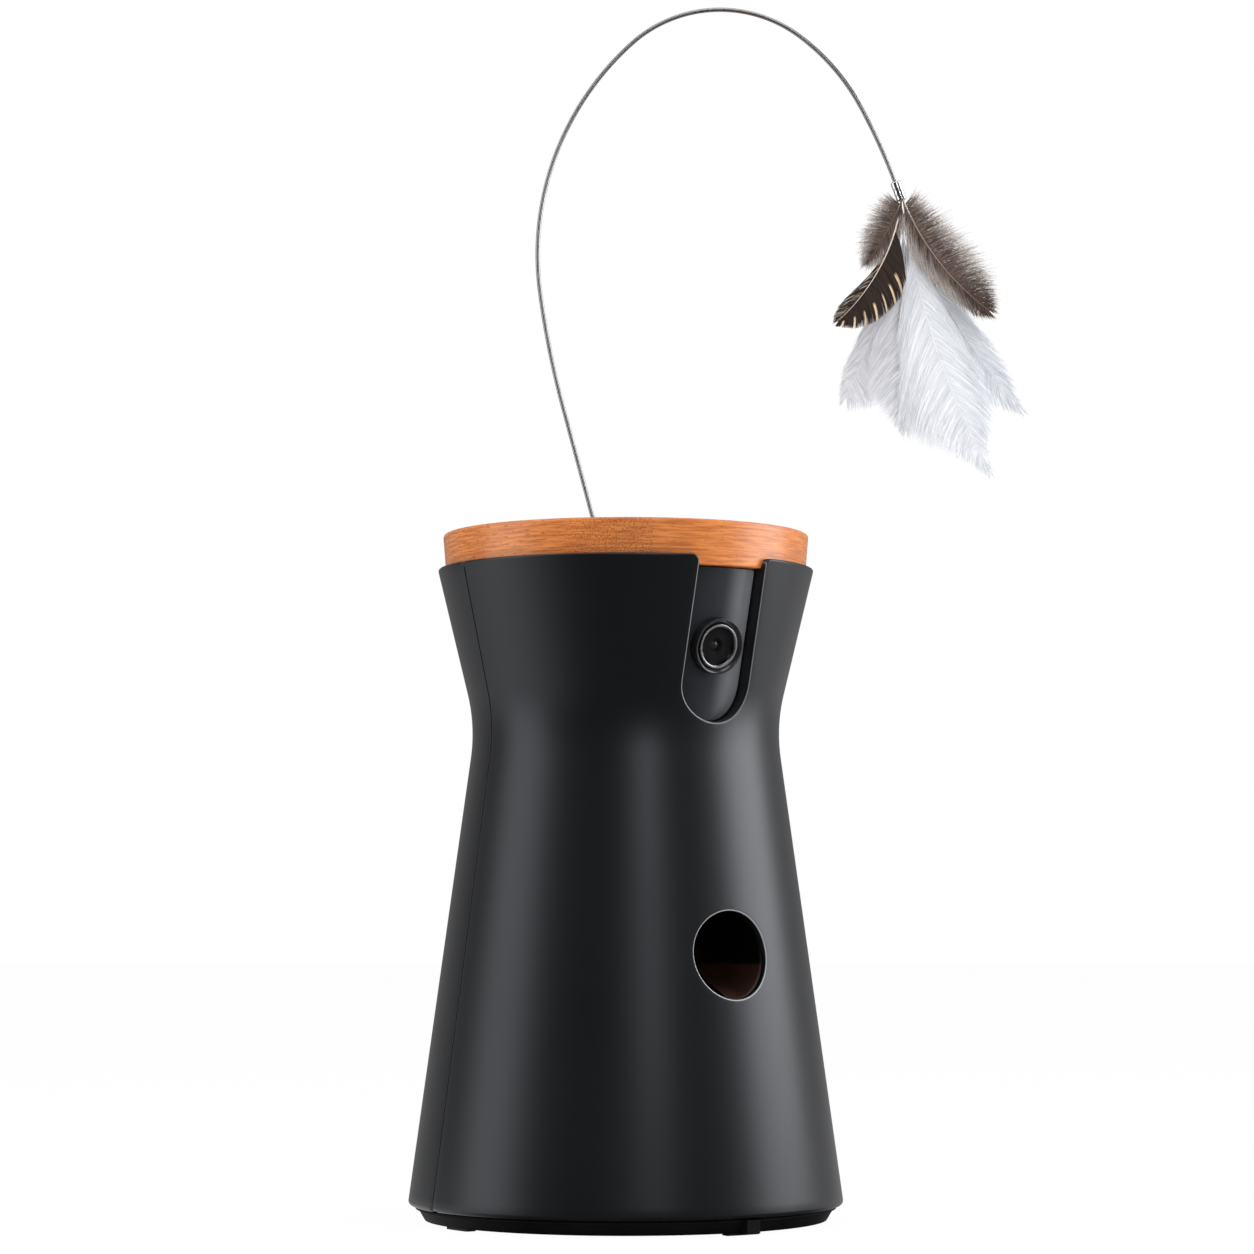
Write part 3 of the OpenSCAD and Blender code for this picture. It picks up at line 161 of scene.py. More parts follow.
# Housing: two half shells of satin charcoal plastic that meet at a fine seam just behind the axis.
# The front one has the camera's slot, open at the rim, and the round outlet; all edges are softened.
foot_r, foot_z, skirt_z = 71.3, 7.0, 5.5
waist_r, waist_z, waist_blend = 49.9, 162.4, 57.0
rim_r, rim_z, rim_round = 62.5, 214.4, 0.8
shell_wall, slot_wall = 2.4, 1.6
seam_back, seam_lean, seam_gap, seam_round = 2.4, math.radians(0.9), 0.3, 0.35
slot_half, slot_low, slot_round, slot_depth, slot_corner = 12.75, 161.8, 1.0, 7.6, 2.0
outlet_r, outlet_z, outlet_round = 14.0, 87.4, 0.6
lid_z = 211.2
# a lip's steps and the flat before its far edge; how far round an opening its rim is looked for
lip_steps, lip_flat = 7, 0.12
zone, front_zone, rim_zone, hair = 2.0, 20.0, 5.0, 0.01
lower_run = (foot_r - waist_r) / (waist_z - foot_z)
upper_run = (rim_r - waist_r) / (rim_z - waist_z)
lower_a, upper_a = math.atan(lower_run), math.atan(upper_run)
blend_l = waist_blend * math.tan((lower_a + upper_a) / 2)
blend_low, blend_high = waist_z - blend_l * math.cos(lower_a), waist_z + blend_l * math.cos(upper_a)
blend_c = (waist_r + blend_l * math.sin(lower_a) + waist_blend * math.cos(lower_a),
           blend_low + waist_blend * math.sin(lower_a))


def housing_r(z):
    """The housing's radius: a cone below the waist, a cone above it, and an arc between them."""
    arc = blend_c[0] - np.sqrt(np.maximum(waist_blend ** 2 - (z - blend_c[1]) ** 2, 0))
    cone = np.where(z < waist_z, waist_r + (waist_z - z) * lower_run, waist_r + (z - waist_z) * upper_run)
    return np.where((z > blend_low) & (z < blend_high), arc, cone)


def unit(v):
    return v / np.maximum(np.linalg.norm(v, axis=-1, keepdims=True), 1e-12)


def cells(index):
    """The quads between neighbouring rows and columns of a table of point numbers."""
    return np.stack([index[:-1, :-1], index[:-1, 1:], index[1:, 1:], index[1:, :-1]], -1).reshape(-1, 4)


def grid_quads(rows, cols, closed=False):
    """The quads of a grid of points. Each row of it is a ring, and if it is closed, each column too."""
    index = np.arange(rows * cols).reshape(rows, cols)
    return cells(np.pad(index, ((0, int(closed)), (0, 1)), "wrap"))


def placed(name, data):
    """A new object in the scene, from a mesh, a lamp or a camera."""
    made = bpy.data.objects.new(name, data)
    bpy.context.scene.collection.objects.link(made)
    return made


def piece(name, points, quads, material, body, *stands_for, uv=None):
    """A smooth mesh piece from points in millimetres, riding on its body in place of CAD nodes.
    It is welded, unless it has UVs."""
    mesh = bpy.data.meshes.new(name)
    mesh.from_pydata(points * MM, [], quads, shade_flat=False)
    if uv is not None:
        layer = mesh.uv_layers.new(name="vane")
        layer.data.foreach_set("uv", uv[quads.ravel()].astype(np.float32).ravel())
    else:
        work = bmesh.new()
        work.from_mesh(mesh)
        bmesh.ops.remove_doubles(work, verts=work.verts, dist=1e-7)
        bmesh.ops.dissolve_degenerate(work, edges=work.edges, dist=1e-7)
        work.to_mesh(mesh)
        work.free()
    mesh.materials.append(material)
    made = placed(name, mesh)
    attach(made, body)
    if stands_for:
        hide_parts(*stands_for)


def pierced_wall(rows, edges, cols, inset, wall, rounding, depth, back):
    """A wall that follows the housing, from rows of heights and pairs of edge angles on each row.
    The outer skin lies inset below the housing's surface and the inner one a wall further in. Round
    every rim runs a lip: a quarter ellipse from the skin into the depth direction, then a side
    wall, and where there is a return, its back. rounding, depth and back say so for points on the rim.
    Where a pair of edges meets, the strips beside it are joined."""
    angle = [left[:, None] + (right - left)[:, None] * np.linspace(0, 1, n + 1)
             for left, right, n in zip(edges[0::2], edges[1::2], cols)]
    starts = np.cumsum([0] + [strip.size for strip in angle])
    index = [start + np.arange(strip.size).reshape(strip.shape) for start, strip in zip(starts, angle)]

    def spread(column):
        return np.hstack([np.broadcast_to(column[:, None], strip.shape).ravel() for strip in angle])

    theta = np.hstack([strip.ravel() for strip in angle])
    height, tilt = spread(rows), spread(np.gradient(housing_r(rows), rows))
    radius = housing_r(height) - inset
    radial = np.stack([np.sin(theta), -np.cos(theta), np.zeros_like(theta)], -1)
    skin = radial * radius[:, None] + np.stack([0 * theta, 0 * theta, height], -1)
    normal = unit(radial - np.array([0, 0, 1]) * tilt[:, None])
    closed = [np.abs(b - a) < 1e-9 for a, b in zip(edges[1:-1:2], edges[2::2])]
    for k, shut in enumerate(closed):
        index[k + 1][shut, 0] = index[k][shut, -1]
    # the rims: one round the outside, which dips into an opening that reaches the top, and one per hole
    dips, holes = {}, []
    for k, shut in enumerate(closed):
        for i in np.flatnonzero(shut[:-1] & ~shut[1:]):
            after = np.flatnonzero(shut[i + 1:])
            end = i + 1 + after[0] if len(after) else len(rows) - 1
            up, down = index[k][i:end + 1, -1], index[k + 1][i:end + 1, 0][::-1]
            if len(after):
                holes.append(np.hstack([up, down]))
            else:
                dips[k] = np.hstack([down, up])
    outer = [strip[0] for strip in index] + [index[-1][:, -1]]
    for k in range(len(index) - 1, -1, -1):
        outer.append(index[k][-1][::-1])
        if k - 1 in dips:
            outer.append(dips[k - 1])
    outer.append(index[0][:, 0][::-1])
    rims = [rim[rim != np.roll(rim, 1)] for rim in [np.hstack(outer)] + holes]
    points, quads = [skin], [cells(strip) for strip in index]
    inner, inner_quads = skin - normal * wall, np.vstack(quads)[:, ::-1]
    total = len(skin)
    inner_from = total + (lip_steps + 2) * sum(len(rim) for rim in rims)
    for rim in rims:
        at, out = skin[rim], normal[rim]
        side = unit(np.cross(unit(np.roll(at, -1, 0) - np.roll(at, 1, 0)), out))
        across, upright = rounding(at)
        lip = side * np.stack([across, across, upright], -1)
        inward = depth(at, radial[rim])
        deep, far = (value[:, None] for value in back(at))
        size = np.linalg.norm(lip, axis=1, keepdims=True)
        turn = np.linspace(0, np.pi / 2, lip_steps)[1:]
        rings = [at + lip * np.sin(a) + inward * size * (1 - np.cos(a)) for a in turn]
        mouth, behind = at + lip, at + lip - side * far
        rings += [mouth + inward * (deep - lip_flat), mouth + inward * deep, behind + inward * deep]
        inner[rim] = behind + inward * wall
        lines = np.arange(total, total + len(rings) * len(rim)).reshape(-1, len(rim))
        lines = np.vstack([rim, lines, rim + inner_from])
        quads.append(cells(np.pad(lines, ((0, 0), (0, 1)), "wrap"))[:, [1, 0, 3, 2]])
        points += rings
        total += len(rings) * len(rim)
    return np.vstack(points + [inner]), np.vstack(quads + [inner_quads + inner_from])


def seam_angle(z, side, trim):
    """Where the seam cuts the housing at each height, in front of it (side -1) or behind it (side 1)."""
    y = seam_back + (rim_z - z) * math.tan(seam_lean) + side * (seam_gap / 2 + trim)
    return np.arccos(-y / housing_r(z))


def eased_rows(*stops):
    """Heights from stop to stop: (height, steps) runs evenly, and a third value of 1, -1 or 2 crowds
    the rows at the start, the end or both ends, as equal turns round a circle do."""
    rows = [np.array([stops[0][0]])]
    for (low, *_), (high, steps, *crowd) in zip(stops[:-1], stops[1:]):
        t = np.linspace(0, 1, steps + 1)[1:]
        ease = {0: t, 1: 1 - np.cos(t * np.pi / 2), -1: np.sin(t * np.pi / 2),
                2: (1 - np.cos(t * np.pi)) / 2}[crowd[0] if crowd else 0]
        rows.append(low + (high - low) * ease)
    return np.hstack(rows)


def disc_half(z, centre, r):
    """Half the width of a disc at each height."""
    return np.sqrt(np.maximum(r ** 2 - (z - centre) ** 2, 0))


def opened(half):
    """Half widths of an opening, with the last traces at its ends set to nothing."""
    return np.where(half < 1e-4, 0, half)


def in_slot(at):
    return (np.abs(at[:, 0]) < slot_half + slot_corner) & (at[:, 2] > slot_low - zone) & (at[:, 1] < 0)


def in_outlet(at):
    return np.hypot(at[:, 0], at[:, 2] - outlet_z) < outlet_r + zone


def shell_rounding(at):
    """How wide the rounding is along and up the rim: wide at the foot, fine at the seam and the rim."""
    z, hole = at[:, 2], in_outlet(at)
    across = np.where(np.abs(at[:, 0]) < front_zone, slot_round, seam_round)
    upright = np.where(z > rim_z - rim_zone, rim_round, across)
    upright = np.where(z < foot_z + hair, foot_z - skirt_z, upright)
    return np.where(hole, outlet_round, across), np.where(hole, outlet_round, upright)


def shell_depth(at, radial):
    """Walls run straight back in the slot and the outlet, and towards the axis elsewhere."""
    through = in_slot(at) | (in_outlet(at) & (at[:, 1] < 0))
    return np.where(through[:, None], (0.0, 1.0, 0.0), -radial)


def shell_back(at):
    """The slot's wall is deeper than the shell and returns behind it; the others end at the inside."""
    slotted = in_slot(at)
    return np.where(slotted, slot_depth, shell_wall), np.where(slotted, slot_wall, 0.0)


slot_mid = slot_low + slot_half
outlet_reach, slot_reach = outlet_r + outlet_round, slot_half + slot_round
front_rows = eased_rows(
    (foot_z,), (outlet_z - outlet_reach, 26), (outlet_z + outlet_reach, 40, 2), (slot_mid - slot_reach, 24),
    (slot_mid, 20, 1), (rim_z - rim_round - slot_corner, 20), (rim_z - rim_round, 8, -1))
outlet_half = disc_half(front_rows, outlet_z, outlet_reach)
slot_top = np.clip(front_rows - (rim_z - rim_round - slot_corner), 0, slot_corner)
slot_width = np.where(front_rows < slot_mid, disc_half(front_rows, slot_mid, slot_reach),
                      slot_reach + slot_corner - np.sqrt(slot_corner ** 2 - slot_top ** 2))
opening = opened(np.where(front_rows < (outlet_z + slot_low) / 2, outlet_half, slot_width))
opening = np.arcsin(opening / housing_r(front_rows))
front_seam = seam_angle(front_rows, -1, seam_round)
front_wall = pierced_wall(
    front_rows, [-front_seam, -opening, opening, front_seam], [52, 52],
    0.0, shell_wall, shell_rounding, shell_depth, shell_back)

# Rear shell: the same satin plastic, closed but for seven upright slots low down in front of the
# speaker. At the seam it is rounded like the front one, so that the two leave a fine dark groove.
grille_half, grille_reach, grille_step, grille_round, speaker_z = 1.0, 11.0, 3.6, 0.2, 40.0
grille_zone, grille_side = 15.0, 3


def rear_rounding(at):
    slotted = (np.abs(at[:, 0]) < grille_zone) & (np.abs(at[:, 2] - speaker_z) < grille_reach + zone)
    upright = shell_rounding(at)[1]
    return np.where(slotted, grille_round, seam_round), np.where(slotted, grille_round, upright)


def plain_back(wall):
    """The back of rims whose side walls end at the inside of the wall."""
    return lambda at: (np.full(len(at), wall), np.zeros(len(at)))


grille_end = grille_half + grille_round
rear_rows = eased_rows(
    (foot_z,), (speaker_z - grille_reach - grille_round, 8), (speaker_z - grille_reach + grille_half, 8, 1),
    (speaker_z + grille_reach - grille_half, 8), (speaker_z + grille_reach + grille_round, 8, -1),
    (blend_low, 34), (blend_high, 16), (rim_z - rim_round, 16))
past_end = np.maximum(np.abs(rear_rows - speaker_z) - (grille_reach - grille_half), 0)
bar = opened(disc_half(past_end, 0, grille_end))
rear_seam = seam_angle(rear_rows, 1, seam_round)
rear_edges = [rear_seam]
for k in range(-grille_side, grille_side + 1):
    middle = np.pi + np.arcsin(k * grille_step / housing_r(rear_rows))
    rear_edges += [middle - bar / housing_r(rear_rows), middle + bar / housing_r(rear_rows)]
rear_edges.append(2 * np.pi - rear_seam)
rear_wall = pierced_wall(
    rear_rows, rear_edges, [44] + [2] * (2 * grille_side) + [44],
    0.0, shell_wall, rear_rounding, lambda at, radial: -radial, plain_back(shell_wall))


def satin(name, painted_lift, painted_sheen_from, painted_sheen_to, painted_sheen, *edges):
    """Satin charcoal plastic: nearly black with a cool gloss, a fine spark grain and traces of handling.
    A painted lift lightens it all over, and a painted sheen lightens it between two places across the piece.
    Each edge is (height, radius, open upwards, colour) of an opening whose rounding carries a painted
    highlight, a pale line."""
    material, shader, place = finish(name, IOR=1.5, Specular_Tint=(0.90, 0.925, 1.0, 1))
    spark = place.noise(3.5, 2.0)
    flow = place.noise(0.03, 3.0).between(0.3, 0.7)
    handling = place.noise(0.018, 4.0, 0.6)
    tones = (0.0024, 0.0027, 0.0033), (0.0034, 0.0038, 0.0046)
    # painted light: a lift above 1 gives a lighter copy of the charcoal
    plain = flow.mix(*(tuple(channel * painted_lift for channel in tone) for tone in tones))
    x = place.part(0)
    # painted sheen: the colour turns towards the sheen colour between the two places across the piece
    colour = x.between(painted_sheen_from * MM, painted_sheen_to * MM).mix(plain, painted_sheen)
    # painted highlights: a pale line in the given colour on the rounding of each opening
    for height, radius, upwards, painted_highlight in edges:
        rise = place.part(2) - height * MM
        rise = rise.math("MINIMUM", 0.0) if upwards else rise
        off = (rise * rise + x * x).math("SQRT") - radius * MM
        line = off.between(0.0, 0.15 * MM) * (1 - off.between(0.3 * MM, 0.5 * MM))
        colour = line.mix(colour, painted_highlight)
    wear(shader, place, Base_Color=colour, Roughness=0.32 + 0.06 * handling + 0.04 * spark,
         height=0.010 * spark)
    return material


# a faint painted sheen over the whole housing, lighter towards +x, and how far beyond the slot's edge its
# painted highlight line runs
painted_sheen_far, painted_sheen_tone, slot_line = 300, (0.0050, 0.0054, 0.0064), 0.3
charcoal = finishes["charcoal_plastic"] = satin("charcoal_plastic", 1, -painted_sheen_far, painted_sheen_far, painted_sheen_tone)
# painted highlights: pale lines on the roundings of the slot and of the outlet
front_satin = satin(
    "front_satin", 1, -painted_sheen_far, painted_sheen_far, painted_sheen_tone,
    (slot_mid, slot_half + slot_line, True, (0.15, 0.155, 0.165)),
    (outlet_z, outlet_r, False, (0.34, 0.35, 0.37)))
piece("housing_front", *front_wall, front_satin, "housing", "front_shell")
piece("housing_rear", *rear_wall, charcoal, "housing", "rear_shell")

# Camera: a charcoal panel set back in the slot, a black bezel with a bright bead, a ring round the
# cover glass, and behind it a stepped black barrel with a small coated lens.
recess, panel_wall, panel_gap, panel_round = 5.0, 2.6, 0.2, 0.45
lens_z, lens_proud, bezel_r, bezel_fit, hole_round = 186.3, 1.9, 9.1, 0.05, 0.1
panel_half = slot_half - panel_gap - panel_round
panel_hole = bezel_r + bezel_fit + hole_round
panel_start, panel_bend = math.radians(8), 0.5
hole_zone = 1.0


def panel_rounding(at):
    lens = np.hypot(at[:, 0], at[:, 2] - lens_z) < panel_hole + hole_zone
    size = np.where(lens, hole_round, panel_round)
    return size, size


hole_tall = panel_hole * math.cos(upper_a)
panel_rows = eased_rows(
    (slot_mid - panel_half * math.cos(panel_start),), (slot_mid - panel_bend, 16, 1),
    (lens_z - hole_tall, 3), (lens_z + hole_tall, 32, 2), (lid_z - panel_gap - panel_round, 12))
panel_width = np.where(panel_rows < slot_mid, disc_half(panel_rows, slot_mid, panel_half), panel_half)
panel_r = housing_r(panel_rows) - recess
panel_edge = np.arcsin(panel_width / panel_r)
hole_edge = np.arcsin(opened(disc_half(panel_rows, lens_z, hole_tall) / math.cos(upper_a)) / panel_r)
panel_plate = pierced_wall(
    panel_rows, [-panel_edge, -hole_edge, hole_edge, panel_edge], [14, 14],
    recess, panel_wall, panel_rounding, lambda at, radial: np.broadcast_to((0.0, 1.0, 0.0), at.shape),
    plain_back(panel_wall))
# painted light: the panel is four times lighter than the shells all over, and a painted sheen brightens it
# from its middle to its right edge
panel_satin = satin("panel_satin", 4, 0, 12.5, (0.19, 0.195, 0.21))
piece("camera_plate", *panel_plate, panel_satin, "housing", "camera_panel")


def eased(corners, radii, steps=4):
    """A closed outline with its corners rounded: each one becomes a parabola between two points
    a radius away along its sides, with two more points beside it to keep the flats flat."""
    corners = np.asarray(corners, float)
    radii = np.asarray(radii, float)[:, None]
    before, after = np.roll(corners, 1, 0) - corners, np.roll(corners, -1, 0) - corners
    reach = 0.45 * np.minimum(np.linalg.norm(before, axis=1), np.linalg.norm(after, axis=1))[:, None]
    cut = np.minimum(np.maximum(radii, 0.008), reach / 1.5)
    a, b = corners + unit(before) * cut, corners + unit(after) * cut
    t = np.linspace(0, 1, steps + 1)[None, :, None]
    arc = (1 - t) ** 2 * a[:, None] + 2 * t * (1 - t) * corners[:, None] + t ** 2 * b[:, None]
    beside = cut[:, None] * np.array([0.25, 0.5])[None, :, None]
    leading, trailing = unit(before)[:, None] * beside[:, ::-1], unit(after)[:, None] * beside
    return np.hstack([a[:, None] + leading, arc, b[:, None] + trailing]).reshape(-1, 2)


def around(sides):
    """Equal angles once round."""
    return np.linspace(0, 2 * np.pi, sides, endpoint=False)


def turned(outline, at, axis, sides=96):
    """A closed outline of (radius, height), drawn anticlockwise, turned once round an axis from a point."""
    axis = unit(np.asarray(axis, float))
    across = unit(np.cross(axis, [1.0, 0.0, 0.0] if abs(axis[0]) < 0.9 else [0.0, 1.0, 0.0]))
    third = np.cross(axis, across)
    a = around(sides)[:, None, None]
    r, h = outline[None, :, :1], outline[None, :, 1:]
    points = np.asarray(at) + r * (np.cos(a) * across + np.sin(a) * third) + h * axis
    return points.reshape(-1, 3), grid_quads(sides, len(outline), True)[:, ::-1]


lens_axis = np.array([0.0, -math.cos(upper_a), -math.sin(upper_a)])
lens_at = np.array([0.0, recess - float(housing_r(np.array(lens_z))), lens_z]) + lens_proud * lens_axis


def lens_part(name, outline, material, node, sides=96):
    """A piece turned on the camera's axis, in place of a CAD node."""
    piece(name, *turned(outline, lens_at, lens_axis, sides), material, "housing", node)


def grained(name, dark, light, roughness, spread, depth, *grain, **constant):
    """Metal or glass with fine marks: a noise between two colours, which roughens it by the spread.
    Depth is that of the marks in millimetres, or 0 for none, and grain says which noise it is."""
    material, shader, place = finish(name, **constant)
    marks = place.noise(*grain)
    wear(shader, place, Base_Color=marks.mix(dark, light), Roughness=roughness + spread * marks,
         height=depth * marks if depth else None)
    return material


# pin is the radius of the pinhole that a turned outline leaves at its axis
pin, bezel_in, bezel_low, bezel_top = 0.02, 7.35, -4.1, 0.6
bezel_outline = eased(
    [(bezel_in, bezel_low), (bezel_r, bezel_low), (bezel_r, bezel_top), (8.5, bezel_top), (bezel_in, -0.7)],
    [0.1, 0.1, 0.4, 0.3, 0.15])
bezel_black = moulded(
    "bezel_black", (0.010, 0.010, 0.011), (0.013, 0.013, 0.015), 0.22, 4.0, 0.006, Coat_Weight=0.5)
lens_part("bezel_bead", bezel_outline, bezel_black, "camera_bezel")

ring_in, ring_out, ring_low, ring_top = 6.3, 7.2, -1.7, 0.15
ring_outline = eased(
    [(ring_in, ring_low), (ring_out, ring_low), (ring_out, ring_top), (6.5, ring_top), (ring_in, -0.4)],
    [0.05, 0.05, 0.3, 0.25, 0.1])
ring_metal = grained(
    "ring_metal", (0.42, 0.42, 0.44), (0.52, 0.52, 0.54), 0.22, 0.10, 0,
    1.2, 2.0, 0.5, (1, 6, 6), Metallic=1.0)
lens_part("glass_ring", ring_outline, ring_metal, "lens_ring")

glass_r, glass_low, glass_top = 6.25, -1.4, -0.4
glass_outline = eased(
    [(pin, glass_low), (glass_r, glass_low), (glass_r, glass_top), (pin, glass_top)], [0, 0.1, 0.15, 0])
cover_glass = finishes["cover_glass"] = grained(
    "cover_glass", (0.86, 0.87, 0.88), (0.92, 0.93, 0.94), 0.005, 0.01, 0,
    0.6, 3.0, Transmission_Weight=1.0, IOR=1.18)
lens_part("front_glass", glass_outline, cover_glass, "lens_cover")

barrel_r, barrel_foot, barrel_low, barrel_step = 4.5, 6.0, -12.8, -9.8
flange_low, flange_top, lip_top, well_low = -3.0, -1.6, -1.9, -4.4
barrel_outline = eased(
    [(pin, barrel_low), (barrel_foot, barrel_low), (barrel_foot, barrel_step), (barrel_r, barrel_step),
     (barrel_r, flange_low), (glass_r, flange_low), (glass_r, flange_top), (2.6, flange_top),
     (2.45, lip_top), (2.1, lip_top), (1.95, well_low), (pin, well_low)],
    [0, 0.2, 0.2, 0.1, 0.1, 0.1, 0.1, 0.05, 0.02, 0.05, 0.1, 0])
tube_black = moulded(
    "tube_black", (0.008, 0.008, 0.0085), (0.011, 0.011, 0.012), 0.5, 4.0, 0.002, Specular_IOR_Level=0.15)
lens_part("lens_tube", barrel_outline, tube_black, "lens_barrel")

coated, shader, place = finish("lens_glass", IOR=1.7)
bloom = place.noise(0.25, 1.0).between(0.35, 0.65)
wear(shader, place, Base_Color=bloom.mix((0.006, 0.007, 0.014), (0.012, 0.008, 0.016)),
     Roughness=0.015 + 0.02 * bloom)
finishes["lens_glass"] = coated
dome_r, dome_low, dome_edge, dome_turn = 1.86, -4.3, -2.9, 1.0
dome = np.linspace(0, dome_turn, 12)[::-1]
dome_arc = np.stack([pin + dome_r * np.sin(dome),
                     dome_edge + dome_r * (np.cos(dome) - math.cos(dome_turn))], -1)
dome_outline = np.vstack([[(pin, dome_low), (pin + dome_r, dome_low)], dome_arc])
lens_part("lens_dome", dome_outline, coated, "lens_element", 48)

# Treat outlet: a chute from the paddle drum to the inside of the front shell, a tube whose flat floor is
# a ramp that falls towards the outlet. Its walls and the left of its ramp are painted near-black as shade,
# and only the lit part of the ramp shows brown.
chute_in, chute_out, ramp_top, ramp_end = 23.5, 57.8, 84.6, 57.66
chute_wall, chute_fit, chute_rows = 2, 0.25, 24
chute_y = np.linspace(chute_in, chute_out, chute_rows)[:, None]
ramp_h = ramp_top + (chute_y - chute_in) / (ramp_end - chute_in) * (outlet_z - outlet_r - ramp_top)
ramp_a = np.arcsin(np.clip((ramp_h - outlet_z) / outlet_r, -0.995, 1))
arc_a = ramp_a + (np.pi - 2 * ramp_a) * np.linspace(0, 1, 41)[None, :]
chord = np.linspace(1, 0, 14)[None, 1:-1]
inside_x = np.hstack([outlet_r * np.cos(arc_a), outlet_r * np.cos(ramp_a) * (1 - 2 * chord)])
ramp_rows = np.broadcast_to(ramp_h, (chute_rows, chord.size))
inside_z = np.hstack([outlet_z + outlet_r * np.sin(arc_a), ramp_rows])
ring_a = around(inside_x.shape[1]) + ramp_a
chute_r = outlet_r + chute_wall


def chute_skin(x, z):
    """Points round the chute, row by row along it; its mouth follows the inside of the shell."""
    reach = np.sqrt((housing_r(z) - shell_wall - chute_fit) ** 2 - x ** 2)
    along = chute_in + (reach - chute_in) * (chute_y - chute_in) / (chute_out - chute_in)
    return np.stack([x, -along, z], -1)


chute_outside = chute_skin(chute_r * np.cos(ring_a), outlet_z + chute_r * np.sin(ring_a))
chute_points = np.vstack([chute_skin(inside_x, inside_z), chute_outside[::-1]])
chute_brown, shader, place = finish("chute_brown", Roughness=0.5, Specular_IOR_Level=0.3)
scuffs = place.noise(0.6, 3.0, 0.6, (1, 0.2, 1)).between(0.3, 0.7)
above_ramp = place.part(2).between((ramp_top - 0.4) * MM, (ramp_top + 0.1) * MM)
# painted shade: 1 only on the lit right part of the ramp; the walls and the ramp's left end get a near-black
# shade colour
lit_ramp = (1 - above_ramp) * place.part(0).between(-14 * MM, 2 * MM)
ramp_colour = scuffs.mix((0.030, 0.012, 0.009), (0.040, 0.016, 0.012))
wear(shader, place, Base_Color=lit_ramp.mix((0.0008, 0.0008, 0.001), ramp_colour))
chute_quads = grid_quads(2 * chute_rows, inside_x.shape[1], True)[:, ::-1]
piece("treat_chute", chute_points.reshape(-1, 3), chute_quads, chute_brown, "housing", "outlet_chute")

# Inside and underneath: motors, gears, boards and screws keep the forms of the CAD. Steel is drawn
# along the axis, and brass has the fine marks of a cutter.
finishes["steel"] = grained(
    "steel", (0.48, 0.48, 0.49), (0.58, 0.58, 0.60), 0.26, 0.16, 0.004,
    0.8, 3.0, 0.6, (4, 4, 0.3), Metallic=1.0)
finishes["brass"] = grained(
    "brass", (0.55, 0.37, 0.12), (0.66, 0.46, 0.17), 0.3, 0.12, 0, 1.0, 2.0, 0.5, (1, 1, 5), Metallic=1.0)

# Lid: a disc of warm orange hardwood, its rim wrapped in veneer with fine dark pores along the grain,
# a stretch of it pricked more finely up to the joint near the front, and its top planed straight.
lid_r, lid_low_r, lid_top = 60.8, 59.6, 225.8
grain_turn, joint_at, fine_from = math.radians(-28.6), math.radians(-26.0), math.radians(-53.0)
joint_soft, fine_soft = 0.004, 0.1
lid_outline = eased([(pin, lid_z), (lid_low_r, lid_z), (lid_r, lid_top), (pin, lid_top)],
                    [0, 0.6, 1.2, 0], 8)
wood, shader, place = finish("wood", IOR=1.45, Specular_IOR_Level=0.3, Coat_Weight=0.65, Coat_Roughness=0.3)
bearing = place.part(0).math("ARCTAN2", -1.0 * place.part(1))
veneer = place.node("ShaderNodeCombineXYZ", {}, {0: bearing * (lid_r * MM), 1: 0.0, 2: place.part(2)})
past_joint = bearing.between(joint_at - joint_soft, joint_at + joint_soft)
pricked = bearing.between(fine_from - fine_soft, fine_from + fine_soft) * (1 - past_joint)
streak = veneer.noise(1.0, 3.0, 0.6, (0.07, 1, 1.3))
dashes = veneer.noise(2.2, 1.0, 0.4, (0.16, 1, 1.0)).between(0.60, 0.70)
pricks = veneer.noise(1.9, 0.0, 0.4, (0.75, 1, 1.0)).between(0.52, 0.64)
pores = dashes * (1 - 0.55 * past_joint) * (1 - pricked) + 0.8 * pricks * pricked
planed = place.noise(1.0, 3.0, 0.6, (1.3, 0.07, 1), (0, 0, grain_turn))
top = place.part(2).between((lid_top - 0.5) * MM, (lid_top - 0.1) * MM)
fibre = streak * (1 - top) + planed * top
pores = pores * (1 - top)
board = fibre.between(0.30, 0.70).mix((0.41, 0.104, 0.0155), (0.68, 0.223, 0.041))
board = (pores * 0.75).mix(board, (0.25, 0.055, 0.009))
wear(shader, place, Base_Color=board, Roughness=0.42 + 0.10 * fibre + 0.15 * pores,
     height=0.02 * fibre - 0.04 * pores)
finishes["wood"] = wood
piece("wooden_lid", *turned(lid_outline, (0, 0, 0), (0, 0, 1), 192), wood, "lid", "lid")

# Wand: drawn spring-steel wire in a black plug, which stands in a flanged bush in the lid.
# The wire leans back, arches over and ends in a crimped ferrule that grips the quills.
wand_y, wand_turn = 18.0, math.radians(-35)
wire_r = 0.75
bush_low, bush_floor, bush_flange = 214.2, 1.0, 0.6
bush_in, bush_out, flange_r = 3.25, 5.05, 6.85
bush_top, bush_seat = lid_top + bush_flange, bush_low + bush_floor
bush_outline = eased(
    [(bush_in, bush_seat), (bush_in, bush_top), (flange_r, bush_top), (flange_r, lid_top),
     (bush_out, lid_top), (bush_out, bush_low), (pin, bush_low), (pin, bush_seat)],
    [0.1, 0.15, 0.3, 0, 0, 0.2, 0, 0])
piece("wand_socket", *turned(bush_outline[::-1], (0, wand_y, 0), (0, 0, 1)),
      finishes["black_plastic"], "lid", "wand_bush")
plug_r, plug_low, bore_r, bore_low = 3.2, 215.4, 0.8, 216.2
collar_r, collar_gap, collar_h = 5.0, 0.03, 2.2
collar_low, collar_top = bush_top + collar_gap, bush_top + collar_h
